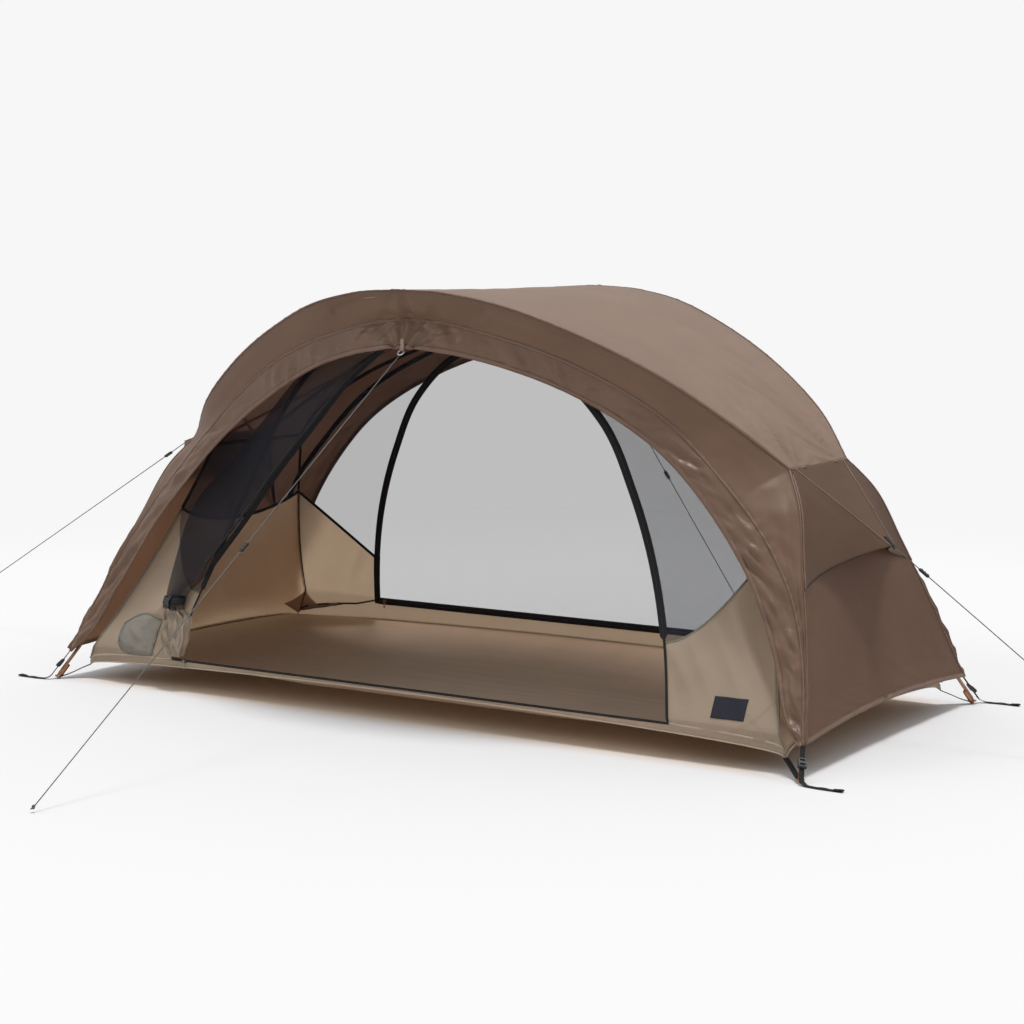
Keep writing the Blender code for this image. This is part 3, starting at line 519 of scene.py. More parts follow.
def cloth(name, grids, thick, mats, side=0, loop=False, tones=None, lining=0):
    """A sheet, or several strips in one piece, from grids of points.

    tones gives each cell its number in mats, and lining is what the second face adds to that number."""
    verts, faces, places, slots = [], [], [], []
    for grid in grids:
        g = np.array(grid, float)
        rows, cols = g.shape[:2]
        down = mean_run(np.concatenate([g, g[:1]]) if loop else g, 0)
        over = mean_run(g, 1)
        start = len(verts)
        verts += [tuple(p) for p in g.reshape(-1, 3)]
        for i in range(rows if loop else rows - 1):
            j = (i + 1) % rows
            for c in range(cols - 1):
                faces.append((start + i * cols + c, start + i * cols + c + 1,
                              start + j * cols + c + 1, start + j * cols + c))
                places += [(down[i], over[c]), (down[i], over[c + 1]), (down[i + 1], over[c + 1]),
                           (down[i + 1], over[c])]
                slots.append(tones(i, c) if tones else 0)
    mesh = uv_mesh(name, verts, faces, places)
    mesh.polygons.foreach_set("material_index", slots)
    thing = link(name, mesh, mats)
    if thick:
        solid = thing.modifiers.new("thickness", "SOLIDIFY")
        solid.thickness = thick
        solid.offset = side
        solid.material_offset = lining
    return thing


def trim(name, grids, thick, mat):
    """Tapes, hems or patches that belong to a sheet."""
    piece = cloth(name, grids, thick, [mat])
    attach(piece, TENT)
    return piece


def dressed(piece, solid, body=TENT):
    """Rides a piece on its body in the place of one solid."""
    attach(piece, body)
    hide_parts(solid)
    return piece


def declare(piece, solids=()):
    """Rides the cloth on the tent and hides the solids it stands for."""
    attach(piece, TENT)
    if solids:
        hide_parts(*solids)


def round_angles(count):
    return np.linspace(0, 2 * math.pi, count, endpoint=False)


def oblong(angle, power):
    """A point on a rounded oblong of half size one: the lower the power, the squarer."""
    return [math.copysign(abs(side) ** power, side) for side in (math.cos(angle), math.sin(angle))]


def tube(points, radius, sides=10, closed=False):
    """Points and faces of a round tube along a line."""
    p = np.array(points, float)
    r = np.broadcast_to(np.array(radius, float), len(p))
    if closed:
        way = unit(np.roll(p, -1, axis=0) - np.roll(p, 1, axis=0))
    else:
        way = unit(np.gradient(p, axis=0))
    start = np.array((0, 0, 1.0)) if abs(way[0][2]) < 0.9 else np.array((1.0, 0, 0))
    across = unit(np.cross(way[0], start))
    verts, faces, places = [], [], []
    run = arc_lengths(p)
    for k in range(len(p)):
        across = unit(across - way[k] * np.dot(across, way[k]))
        up = np.cross(way[k], across)
        for s in range(sides):
            angle = 2 * math.pi * s / sides
            verts.append(tuple(p[k] + r[k] * (math.cos(angle) * across + math.sin(angle) * up)))
    last = len(p) if closed else len(p) - 1
    for k in range(last):
        m = (k + 1) % len(p)
        for s in range(sides):
            t = (s + 1) % sides
            faces.append((k * sides + s, k * sides + t, m * sides + t, m * sides + s))
            end = run[k + 1] if k + 1 < len(p) else run[k] + np.linalg.norm(p[0] - p[-1])
            round_it = 2 * math.pi * r[k] / sides
            places += [(run[k], s * round_it), (run[k], (s + 1) * round_it), (end, (s + 1) * round_it),
                       (end, s * round_it)]
    if not closed:
        faces.append(tuple(range(sides))[::-1])
        faces.append(tuple(range((len(p) - 1) * sides, len(p) * sides)))
        places += [(0.0, 0.0)] * (2 * sides)
    return verts, faces, places


def tubes(name, parts, mat):
    """One piece from several tubes, each (points, radius, sides, closed)."""
    verts, faces, places = [], [], []
    for points, radius, sides, closed in parts:
        v, f, u = tube(points, radius, sides, closed)
        faces += [tuple(i + len(verts) for i in face) for face in f]
        verts += v
        places += u
    mesh = uv_mesh(name, verts, faces, places)
    work = bmesh.new()
    work.from_mesh(mesh)
    bmesh.ops.recalc_face_normals(work, faces=work.faces)
    work.to_mesh(mesh)
    work.free()
    return link(name, mesh, [mat])


def settled(thing):
    """Turns a piece with modifiers into a plain mesh."""
    deps = bpy.context.evaluated_depsgraph_get()
    mesh = bpy.data.meshes.new_from_object(thing.evaluated_get(deps))
    thing.modifiers.clear()
    old = thing.data
    thing.data = mesh
    bpy.data.meshes.remove(old)
    return thing


def stitch_tree():
    """Lays small stitches at an even pitch along every line of a mesh of edges."""
    tree = bpy.data.node_groups.new("stitches_along_seams", "GeometryNodeTree")
    asked = {"Seams": "Geometry", "Pitch": "Float", "Stitch Length": "Float", "Stitch Width": "Float",
             "Stitch Height": "Float", "Thread": "Material"}
    ids = {name: tree.interface.new_socket(name, in_out="INPUT", socket_type="NodeSocket" + kind).identifier
           for name, kind in asked.items()}
    tree.interface.new_socket("Stitches", in_out="OUTPUT", socket_type="NodeSocketGeometry")
    kinds = {"entry": "NodeGroupInput", "leave": "NodeGroupOutput", "line": "GeometryNodeMeshToCurve",
             "even": "GeometryNodeResampleCurve", "along": "GeometryNodeInputTangent",
             "turn": "FunctionNodeAlignRotationToVector", "bead": "GeometryNodeMeshUVSphere",
             "size": "ShaderNodeCombineXYZ", "lay": "GeometryNodeInstanceOnPoints",
             "real": "GeometryNodeRealizeInstances", "coat": "GeometryNodeSetMaterial"}
    made = {name: tree.nodes.new(kind) for name, kind in kinds.items()}
    made["even"].mode = "LENGTH"
    made["turn"].axis = "Z"
    for name, value in (("Segments", 5), ("Rings", 4), ("Radius", 0.5)):
        made["bead"].inputs[name].default_value = value
    for source, output, target, into in (
            ("entry", "Seams", "line", "Mesh"), ("line", "Curve", "even", "Curve"),
            ("entry", "Pitch", "even", "Length"), ("even", "Curve", "lay", "Points"),
            ("bead", "Mesh", "lay", "Instance"), ("along", "Tangent", "turn", "Vector"),
            ("turn", "Rotation", "lay", "Rotation"), ("entry", "Stitch Width", "size", "X"),
            ("entry", "Stitch Height", "size", "Y"), ("entry", "Stitch Length", "size", "Z"),
            ("size", 0, "lay", "Scale"), ("lay", "Instances", "real", "Geometry"),
            ("real", "Geometry", "coat", "Geometry"), ("entry", "Thread", "coat", "Material"),
            ("coat", "Geometry", "leave", 0)):
        tree.links.new(made[source].outputs[output], made[target].inputs[into])
    return tree, ids


STITCHES, STITCH_IDS = stitch_tree()
STITCH_SIZES = ("Pitch", "Stitch Length", "Stitch Width", "Stitch Height")
FLY_STITCH = (0.006, 0.0042, 0.0009, 0.0007)
HEM_STITCH = (0.005, 0.0034, 0.0007, 0.0006)
PANEL_STITCH = (0.005, 0.0034, 0.0008, 0.0007)
PATCH_STITCH = (0.003, 0.0022, 0.0005, 0.0004)
ZIP_STITCH = (0.006, 0.0038, 0.0006, 0.0005)
ZIP_TOOTH = (0.0034, 0.0022, 0.0032, 0.0022)


def stitched(name, lines, thread, sizes=FLY_STITCH):
    """Stitches or teeth at an even pitch along the given lines."""
    verts, edges = [], []
    for points in lines:
        start = len(verts)
        verts += [tuple(p) for p in points]
        edges += [(start + k, start + k + 1) for k in range(len(points) - 1)]
    mesh = bpy.data.meshes.new(name)
    mesh.from_pydata(verts, edges, [])
    thing = placed(name, mesh)
    sew = thing.modifiers.new("stitches", "NODES")
    sew.node_group = STITCHES
    sew[STITCH_IDS["Thread"]] = thread
    for key, value in zip(STITCH_SIZES, sizes):
        sew[STITCH_IDS[key]] = value
    settled(thing)
    thing.data.shade_smooth()
    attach(thing, TENT)
    return thing


def reached(grid, column, way, distance):
    """Points on a folded cloth at a distance from one of its lines, measured over the cloth."""
    near = grid[:, [column + way * k for k in range(4)]]
    run = np.cumsum(np.linalg.norm(np.diff(near, axis=1, prepend=near[:, :1]), axis=2), axis=1)
    return np.array([[np.interp(distance, run[i], near[i, :, axis]) for axis in range(3)]
                     for i in range(len(near))])


def seam_band(grid, column, normal, width, lift, bend=0.0):
    """A narrow band over a seam and the way it is lifted. bend leans it into a seam on a sharp ridge."""
    line = grid[:, column]
    sides = [reached(grid, column, way, width / 2) for way in (-1, 1)]
    out = unit(normal - bend * (unit(sides[0] - line) + unit(sides[1] - line)))
    return np.stack([sides[0], line, sides[1]], axis=1) + (out * lift)[:, None], out


# Guylines: straight and taut, from the fly to a knot on the ground or just outside the picture

LINE_DIAMETER = 0.0025
LINE_POINTS = 24
KNOT_BACK = 0.020
KNOT_SIZE = 0.0042
KNOT_RISE = 0.0008
ADJUSTER_HALF = (0.015, 0.0056, 0.0036)
ADJUSTER_SIDES = 16
EYELET_RADIUS = LINE_DIAMETER / 2 + 0.0004
RIB_RADIUS = 0.0009
RIB_PLACES = (-0.62, 0.0, 0.62)
GUYLINES = {
    "front": ((-0.0001, -0.4566, 0.8991), (-0.114, -1.607, 0.0040), 0.46),
    "rear": ((-0.0001, 0.4429, 0.9133), (0.139, 1.200, 0.0040), 0.444),
    "left": ((-1.0754, 0, 0.6116), (-1.885, 0, 0.1460), 0.0913),
    "right": ((1.0944, 0, 0.4618), (1.463, 0, 0.1912), 0.2115),
}


def knot_path(centre, way, size):
    """An overhand knot pulled tight: a three-lobed loop that passes over and under itself."""
    u = way / np.linalg.norm(way)
    v = unit(np.cross(u, (0, 0, 1.0)))
    w = np.cross(u, v)
    t = round_angles(60)
    x = np.sin(t) + 2 * np.sin(2 * t)
    y = np.cos(t) - 2 * np.cos(2 * t)
    z = -np.sin(3 * t)
    return centre + size / 3 * (x[:, None] * u * 1.5 + y[:, None] * v + z[:, None] * w * 1.1)


def line_adjuster(label, centre, way, sideways):
    """A slotted bar tensioner: a waisted nylon block with eyelets at its ends and ribs across it."""
    u = way / np.linalg.norm(way)
    v = unit(np.array(sideways, float) - u * np.dot(u, sideways))
    w = np.cross(u, v)
    half_long, half_wide, half_deep = ADJUSTER_HALF
    angles = round_angles(ADJUSTER_SIDES)
    work = bmesh.new()

    def wall(ring, other):
        for k in range(ADJUSTER_SIDES):
            m = (k + 1) % ADJUSTER_SIDES
            work.faces.new((ring[k], ring[m], other[m], other[k]))

    rings = []
    for t in np.linspace(-1, 1, 13):
        waist = 1 - 0.22 * math.cos(math.pi * t / 2) ** 2
        tip = math.sqrt(max(0.0, 1 - abs(t) ** 6))
        ring = []
        for angle in angles:
            x, y = oblong(angle, 0.6)
            x = x * half_wide * waist * (0.55 + 0.45 * tip)
            y = y * half_deep * (0.6 + 0.4 * tip)
            ring.append(work.verts.new(tuple(centre + u * t * half_long + v * x + w * y)))
        rings.append(ring)
    for ring, other in zip(rings[:-1], rings[1:]):
        wall(ring, other)
    eyelets = []
    for t, ring in ((-1, rings[0]), (1, rings[-1])):
        end = centre + u * t * half_long
        eyelets.append([work.verts.new(tuple(end + (v * math.cos(a) + w * math.sin(a)) * EYELET_RADIUS))
                        for a in angles])
        wall(ring, eyelets[-1])
    wall(*eyelets)
    bmesh.ops.recalc_face_normals(work, faces=work.faces)
    mesh = bpy.data.meshes.new("line_adjuster_" + label)
    work.to_mesh(mesh)
    work.free()
    block = link("line_adjuster_" + label, mesh, [black_nylon])
    dressed(block, "guy_adjuster_" + label, "adjuster_" + label)
    bars = []
    for t in RIB_PLACES:
        middle = centre + u * t * half_long
        bars.append((np.array([middle + v * x * half_wide * 0.95 + w * half_deep * (1.0 - 0.18 * x * x)
                               for x in np.linspace(-1, 1, 9)]), RIB_RADIUS, 8, False))
    ribs = tubes("adjuster_ribs_" + label, bars, black_nylon)
    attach(ribs, "adjuster_" + label)
    return block, ribs


for label, (start, end, spot) in GUYLINES.items():
    first, last = np.array(start), np.array(end)
    way = last - first
    length = float(np.linalg.norm(way))
    route = [first + way * t for t in np.linspace(0, 1 - KNOT_BACK / length * 0.35, LINE_POINTS)]
    line = tubes("guyline_cord_" + label, [(route, LINE_DIAMETER / 2, 10, False)], guy_cord)
    dressed(line, "guyline_" + label)
    middle = last - way / length * KNOT_BACK * 0.5 + np.array((0, 0, KNOT_RISE))
    knot = tubes("guyline_knot_" + label, [(knot_path(middle, way, KNOT_SIZE), LINE_DIAMETER / 2, 8, True)],
                 guy_cord)
    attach(knot, TENT)
    sideways = (1, 0, 0) if label in ("front", "rear") else (0, 1, 0)
    block, ribs = line_adjuster(label, first + way * spot, way, sideways)

# Fly sheet: one continuous cloth from the front lip over the roof and ends to the rear lip

RIDGE = [(0, 0.460, 1.057), (0.25, 0.441, 1.029), (0.45, 0.382, 0.958), (0.65, 0.309, 0.854),
         (0.80, 0.240, 0.745), (0.90, 0.160, 0.647)]
LEG = [(0.90, 0.160, 0.647), (0.95, 0.212, 0.575), (0.995, 0.283, 0.440), (1.038, 0.352, 0.300),
       (1.075, 0.418, 0.165), (1.098, 0.468, 0.075)]
HOOD_SEAM = [(0, 0.405, 0.985), (0.25, 0.397, 0.945), (0.45, 0.358, 0.876), (0.65, 0.303, 0.758),
             (0.80, 0.295, 0.620), (0.92, 0.305, 0.485), (1.00, 0.338, 0.360), (1.048, 0.388, 0.244),
             (1.0915, 0.4735, 0.0735)]
HOOD_LIP = [(0, 0.442, 0.914), (0.25, 0.401, 0.876), (0.45, 0.347, 0.800), (0.65, 0.321, 0.678),
            (0.80, 0.333, 0.530), (0.90, 0.357, 0.400), (0.98, 0.398, 0.250), (1.048, 0.458, 0.105),
            (1.084, 0.480, 0.070)]
RIDGE_STEPS = 360
LEG_STEPS = 110
LOWER_CELLS = 14
UPPER_CELLS = 10
MIDDLE_CELLS = 36
LOWER_BELLY = 0.03
UPPER_BELLY = -0.01
ROOF_SAG = 0.004
END_SAG = 0.008
HEM_ARCH = 0.020
HEM_RAMP = 0.125
LEG_LEAN = 0.18
CROWN_LEAN = -0.80
SEAM_WIDTH = 0.009
SEAM_LIFT = 0.0011
INSIDE_TAPE = (0.014, -0.0030)
HEM_WIDTH = 0.013
RIDGE_BEND = 2.5
LIP_FOLDS = (0.0056, 0.0024)
LIP_GATHER = (0.0100, 11, 0.085)
SEAM_GATHER = (0.0048, 9, 0.060)
HOOD_FOLDS = (0.0040, 0.0048, 0.0040)
PUCKERS = ((LOWER_CELLS, 0.0019), (LOWER_CELLS + UPPER_CELLS, 0.0012), (0, 0.0013))
ROOF_FOLDS = (0.0062, 0.0013, 0.0009)
END_FOLDS = (0.0016, 0.0018, 0.0006)


def bowed(a, b, share, cells):
    """Points between two lines along an arc bowed across the tent, without the last line."""
    mid = (a + b) / 2
    mid[:, 1] += share * np.linalg.norm(b - a, axis=1)
    rows = []
    for t in np.linspace(0, 1, cells, endpoint=False):
        rows.append(a * (1 - t) * (1 - 2 * t) + mid * 4 * t * (1 - t) + b * t * (2 * t - 1))
    return rows


def fly_surface():
    """The fly's smooth grid: along its edge line by across it, with each point's place on the cloth."""
    ridge = at(whole(RIDGE), np.linspace(0, 1, RIDGE_STEPS + 1))
    leg = at(LEG, np.linspace(0, 1, LEG_STEPS + 1))
    edge = np.concatenate([flipped(leg[:0:-1], sx=-1), ridge, leg[1:]])
    share = arc_lengths(edge)
    share /= share[-1]
    seam = at(whole(HOOD_SEAM), share)
    lip = at(whole(HOOD_LIP), share)
    half = bowed(lip, seam, LOWER_BELLY, LOWER_CELLS) + bowed(seam, edge, UPPER_BELLY, UPPER_CELLS)
    front = [flipped(row, sy=-1) for row in half]
    middle = []
    down_leg = np.zeros(len(edge))
    down_leg[:LEG_STEPS + 1] = np.linspace(1, 0, LEG_STEPS + 1)
    down_leg[-LEG_STEPS - 1:] = np.linspace(0, 1, LEG_STEPS + 1)
    hem = np.clip((down_leg - 1 + HEM_RAMP) / HEM_RAMP, 0, 1)
    on_leg = fade(down_leg, 0.0, 0.06)
    for c in np.linspace(-1, 1, MIDDLE_CELLS + 1):
        row = edge * (1, c, 1)
        dip = 1 - c * c
        row[:, 2] += HEM_ARCH * dip * hem - ROOF_SAG * dip * (1 - on_leg)
        row[:, 0] -= np.sign(edge[:, 0]) * END_SAG * dip * on_leg
        middle.append(row)
    grid = np.stack(front + middle + half[::-1], axis=1)
    along = arc_lengths(edge)
    along -= along[-1] / 2
    return grid, along, down_leg


def fly_wrinkles(grid, along, down_leg):
    """Heights of the folds: tension lines on the roof, short pulls along the lip, puckers at the seams."""
    lower, upper = LOWER_CELLS, LOWER_CELLS + UPPER_CELLS
    cols = grid.shape[1]
    over = np.concatenate([np.zeros((len(grid), 1)),
                           np.cumsum(np.linalg.norm(np.diff(grid, axis=1), axis=2), axis=1)], axis=1)
    s = np.repeat(along[:, None], cols, axis=1)
    leg = np.repeat(down_leg[:, None], cols, axis=1)
    height = np.zeros(grid.shape[:2])
    far = np.abs(s)
    for order, seed in ((slice(None), 11), (slice(None, None, -1), 23)):
        w = np.abs(over[:, order] - over[:, order][:, :1])
        band = w[:, lower:lower + 1]
        low = np.zeros_like(height)
        bulk = np.sin(math.pi * np.clip(w / band, 0, 1)) ** 0.7
        crisp = 0.80 + 0.55 * fade(far, 0.70, 1.15) + 0.35 * np.exp(-((far - 0.50) / 0.18) ** 2)
        steep = w * math.cos(LEG_LEAN) - far * math.sin(LEG_LEAN)
        run = w * math.sin(LEG_LEAN) + far * math.cos(LEG_LEAN)
        crown_steep = w * math.cos(CROWN_LEAN) - far * math.sin(CROWN_LEAN)
        crown_run = w * math.sin(CROWN_LEAN) + far * math.cos(CROWN_LEAN)
        outer = fade(far, 0.42, 0.80)
        pull = (outer * creases(steep * 28, run * 6.0 + s * 0.9, seed)
                + (1 - outer) * creases(crown_steep * 30 + s * 2, crown_run * 4.0, seed + 9))
        small = creases(steep * 52, run * 13 + s * 1.3, seed + 1)
        broken = 0.55 + 0.75 * fade(ripple(steep * 9, run * 9, seed + 6), -0.45, 0.45)
        folds = bulk * crisp * broken * (LIP_FOLDS[0] * pull + LIP_FOLDS[1] * small)
        low[:, :lower + 1] = folds[:, :lower + 1]
        top_edge = w[:, upper:upper + 1]
        for place, size, lobes, spread_out in ((0.0, *LIP_GATHER), (top_edge, *SEAM_GATHER)):
            off = w - place
            reach = np.sqrt(s * s + off * off)
            angle = np.arctan2(s, np.abs(off) + 0.02)
            gather = np.cos(lobes * angle + 1.2 * ripple(s * 9, w * 9, seed + 2))
            gather = gather * np.exp(-reach / spread_out)
            low[:, :upper + 1] += (size * gather * fade(reach, 0.004, 0.035))[:, :upper + 1]
        climb = np.clip((w - band) / np.maximum(top_edge - band, 1e-6), 0, 1)
        calm = creases(s * 3.1 + climb * 0.5, climb * 1.5 + s * 0.8, seed + 3)
        bunch = creases(steep * 20, run * 4.5 + s, seed + 4) * fade(far, 0.80, 1.20)
        drawn = creases(climb * 3.2 + s * 1.4, s * 2.2, seed + 8) * fade(far, 0.95, 1.15)
        top = np.sin(math.pi * climb) * (HOOD_FOLDS[0] * calm + HOOD_FOLDS[1] * bunch + HOOD_FOLDS[2] * drawn)
        low[:, lower:upper + 1] += top[:, lower:upper + 1]
        cut = slice(0, upper + 8)
        for column, amount in PUCKERS:
            gap = np.abs(w - w[:, column:column + 1])
            pucker = ripple(s * 55, gap * 30 + column, seed + 5 + column)
            low[:, cut] += (amount * pucker * np.exp(-gap / 0.014))[:, cut]
        low = np.where(low < 0, low * (1 - np.exp(-((w - top_edge) / 0.030) ** 2)), low)
        height += low[:, order]
    mid = slice(upper, cols - upper)
    c = np.linspace(-1, 1, MIDDLE_CELLS + 1)[None, :]
    x, y = grid[:, mid, 0], grid[:, mid, 1]
    sm = s[:, mid]
    down = leg[:, mid]
    inside = (1 - np.abs(c) ** 8)
    roof = 1 - fade(down, 0.0, 0.04)
    away = np.sqrt((np.abs(x) - 0.90) ** 2 + (y - np.sign(c) * 0.16) ** 2)
    turn = np.arctan2(np.abs(y) - 0.16 + 0.02, 0.92 - np.abs(x))
    spread = creases(turn * 5.5, away * 1.6, 41) * np.exp(-away / 0.26) * fade(away, 0.01, 0.08)
    taut = creases(sm * 1.5, c * 3.2 + sm * 0.4, 43)
    height[:, mid] += roof * inside * (ROOF_FOLDS[0] * spread + ROOF_FOLDS[1] * taut
                                       + ROOF_FOLDS[2] * ripple(sm * 6, c * 5, 44))
    slope = creases(c * 2.6 + down * 0.8, down * 1.1 + np.sign(x) * 3, 47)
    foot = creases((1 - np.abs(c)) * 4 / (0.25 + np.clip(1 - down, 0, 1)) + 3, down * 2, 48)
    ends = (END_FOLDS[0] * slope + END_FOLDS[1] * foot * fade(down, 0.55, 0.95)
            + END_FOLDS[2] * ripple(down * 9, c * 6, 49))
    height[:, mid] += (1 - roof) * inside * ends
    return height


fly_base, fly_along, fly_down = fly_surface()
away_from_inside = fly_base - np.array((0, 0, 0.25))
fly_normal = unit(np.cross(np.gradient(fly_base, axis=0), np.gradient(fly_base, axis=1)))
fly_normal *= np.where(np.sum(fly_normal * away_from_inside, axis=2, keepdims=True) < 0, -1, 1)
fly_grid = fly_base + fly_normal * fly_wrinkles(fly_base, fly_along, fly_down)[..., None]
LIP, SEAM, EDGE = 0, LOWER_CELLS, LOWER_CELLS + UPPER_CELLS
LAST = fly_grid.shape[1] - 1
LEFT_SHOULDER, RIGHT_SHOULDER = LEG_STEPS, LEG_STEPS + RIDGE_STEPS


def fly_panel(row, column):
    """Which of the fly's four finishes a cell has: roof, end, upper hood or lower hood. The roof's lighter
    brown is painted light, the ends' and hoods' darker brown painted shade.
    """
    if EDGE <= column < LAST - EDGE:
        return 0 if LEFT_SHOULDER <= row < RIGHT_SHOULDER else 1
    return 2 if SEAM <= column < LAST - SEAM else 3


fly_outside = [fly_roof_painted_light, fly_end_painted_shade, upper_hood, lower_hood]
fly_cloth = cloth("fly_cloth", [fly_grid], FLY_THICK, [fly_lining_painted_light] * len(fly_outside) + fly_outside,
                  tones=fly_panel, lining=len(fly_outside))

outer_bands, inner_bands, fly_stitch_lines = [], [], []
along_rows = np.swapaxes(fly_grid[:, EDGE:LAST - EDGE + 1], 0, 1)
rows_normal = np.swapaxes(fly_normal[:, EDGE:LAST - EDGE + 1], 0, 1)
on_ridge = RIDGE_BEND * (1 - fade(fly_down, 0.0, 0.3))[:, None]
seams = [(fly_grid, fly_normal, column, on_ridge if column in (EDGE, LAST - EDGE) else 0.0)
         for column in (SEAM, EDGE, LAST - EDGE, LAST - SEAM)]
seams += [(along_rows, rows_normal, row, 0.0) for row in (LEFT_SHOULDER, RIGHT_SHOULDER)]
for grid, normals, column, bend in seams:
    band, out = seam_band(grid, column, normals[:, column], SEAM_WIDTH, SEAM_LIFT, bend)
    outer_bands.append(band)
    fly_stitch_lines += [band[:, 1] * 0.3 + band[:, edge] * 0.7 + out * 0.0007 for edge in (0, 2)]
    if grid is fly_grid:
        inner_bands.append(seam_band(grid, column, normals[:, column], *INSIDE_TAPE, bend)[0])
for grid, normals, column, way in ((fly_grid, fly_normal, LIP, 1), (fly_grid, fly_normal, LAST, -1),
                                   (along_rows, rows_normal, 0, 1),
                                   (along_rows, rows_normal, len(fly_grid) - 1, -1)):
    band = np.stack([reached(grid, column, way, HEM_WIDTH * k) for k in (0, 0.5, 1)], axis=1)
    band += (normals[:, column] * 0.0010)[:, None]
    outer_bands.append(band)
    fly_stitch_lines.append(band[:, 2] * 0.8 + band[:, 1] * 0.2 + normals[:, column] * 0.0008)

fly_seams = trim("fly_seam_bands", outer_bands, SEAM_THICK, fly_seam)
fly_tapes = trim("fly_inside_seam_tape", inner_bands, INSIDE_TAPE_THICK, black_tape)
fly_stitches = stitched("fly_stitching", fly_stitch_lines, brown_thread)
declare(fly_cloth,
        ["fly_roof", "fly_front_hood", "fly_rear_hood", "fly_left_end", "fly_right_end"])

# Vents: a small hood that stands off each end and is pitched out to a peak by the end's guyline

VISOR_STANDOFF = 0.0030
VISOR_REACH = (0.03, 0.47)
VISOR_HOLLOW = 0.037
VISOR_TOP = np.array((0.9011, 0.135, 0.6459))
VENT_TAB_HALF = 0.010
TAB_HALF_WIDTH = np.array((0, 0.0075, 0))
PEAKS = {"left": (-1, 1.075, 0.612), "right": (1, 1.094, 0.462)}
VENT_ROWS = 36
VENT_CELLS = 16
VENT_NET_ROWS = range(5, 29)
VENT_NET_INSET = 5

def visor(sx, peak_x, peak_z):
    """The visor's grid, from the shoulder down to its free edge, and across from leg to leg."""
    t = np.linspace(0, 1, VENT_ROWS)[:, None]
    side = at(LEG, VISOR_REACH[0] + (VISOR_REACH[1] - VISOR_REACH[0]) * t[:, 0]) + (VISOR_STANDOFF, 0, 0)
    crease = VISOR_TOP + (np.array((peak_x, VENT_TAB_HALF, peak_z)) - VISOR_TOP) * t
    flank = (side + crease) / 2 - np.array((1.0, 0, 0)) * VISOR_HOLLOW * t * t
    half = []
    for u in np.linspace(0, 1, VENT_CELLS + 1):
        half.append(side * (1 - u) * (1 - 2 * u) + flank * 4 * u * (1 - u) + crease * u * (2 * u - 1))
    middle = [crease * (1, c, 1) for c in (-0.5, 0, 0.5)]
    row = [p * (1, -1, 1) for p in half] + middle + half[::-1]
    return np.stack(row, axis=1) * (sx, 1, 1)


for label, (sx, peak_x, peak_z) in PEAKS.items():
    base = visor(sx, peak_x, peak_z)
    normal = facing(base, (sx, 0, 0.6))
    down = np.linspace(0, 1, VENT_ROWS)[:, None]
    c = np.linspace(-1, 1, base.shape[1])[None, :]
    fold = 0.0016 * creases(3.2 * (np.abs(c) - 0.4) / (0.25 + down), down * 1.2 + sx, 61)
    fold = fold + 0.0010 * ripple(c * 7, down * 6, 62)
    fold = fold * np.sin(math.pi * np.clip(down, 0.02, 0.9)) * (1 - np.abs(c) ** 6)
    shape = base + normal * fold[..., None]
    # The visor takes the ends' darker brown: painted shade.
    visor_cloth = cloth("vent_visor_" + label, [shape], FLY_THICK, [fly_end_painted_shade])
    bands, lines = [], []
    for column, inner in ((0, 1), (-1, -2)):
        line, up = shape[:, column], normal[:, column]
        inward = unit(shape[:, inner] - line)
        hem = np.stack([line + up * 0.0002, line + inward * 0.004 + up * 0.0012,
                        line + inward * 0.009 + up * 0.0008], axis=1)
        bands.append(hem)
        lines.append(hem[:, 1] * 0.4 + hem[:, 2] * 0.6 + up * 0.0007)
    for column in (VENT_CELLS, -VENT_CELLS - 1):
        bands.append(seam_band(shape, column, normal[:, column], 0.005, 0.0009)[0])
    seams = trim("vent_visor_seams_" + label, bands, VISOR_SEAM_THICK, fly_seam)
    line, up = shape[-1], normal[-1]
    edge = np.stack([line + up * 0.0008, line - up * 0.0002,
                     line - up * 0.0010 + unit(shape[-2] - line) * 0.005], axis=1)
    edging = trim("vent_edge_binding_" + label, [edge], TAPE_THICK, black_tape)
    stitches = stitched("vent_stitching_" + label, lines, brown_thread)
    middle = base.shape[1] // 2
    ahead = unit(shape[-1, middle] - shape[-4, middle])
    up = normal[-1, VENT_CELLS + 2]
    tip = np.array((sx * peak_x, 0, peak_z))
    tab_path = (tip - ahead * 0.030 + up * 0.0016, tip + up * 0.0014, tip + ahead * 0.008)
    tab = trim("vent_tab_" + label, [[(p - TAB_HALF_WIDTH, p, p + TAB_HALF_WIDTH) for p in tab_path]],
               TIE_THICK, black_webbing)
    declare(visor_cloth, ["fly_" + label + "_vent"])
    # The vent's dark opening is an opaque black sheet laid just outside the continuous fly cloth: black like
    # the real net, with the shade behind it painted in.
    rows = [LEG_STEPS - k if sx < 0 else RIGHT_SHOULDER + k for k in VENT_NET_ROWS]
    across = slice(EDGE + VENT_NET_INSET, LAST - EDGE - VENT_NET_INSET + 1)
    vent = fly_grid[rows][:, across] + fly_normal[rows][:, across] * 0.0016
    vent_net_painted_shade = cloth("vent_net_" + label, [vent], NET_THICK, [black_tape])
    declare(vent_net_painted_shade)

# Inner tent

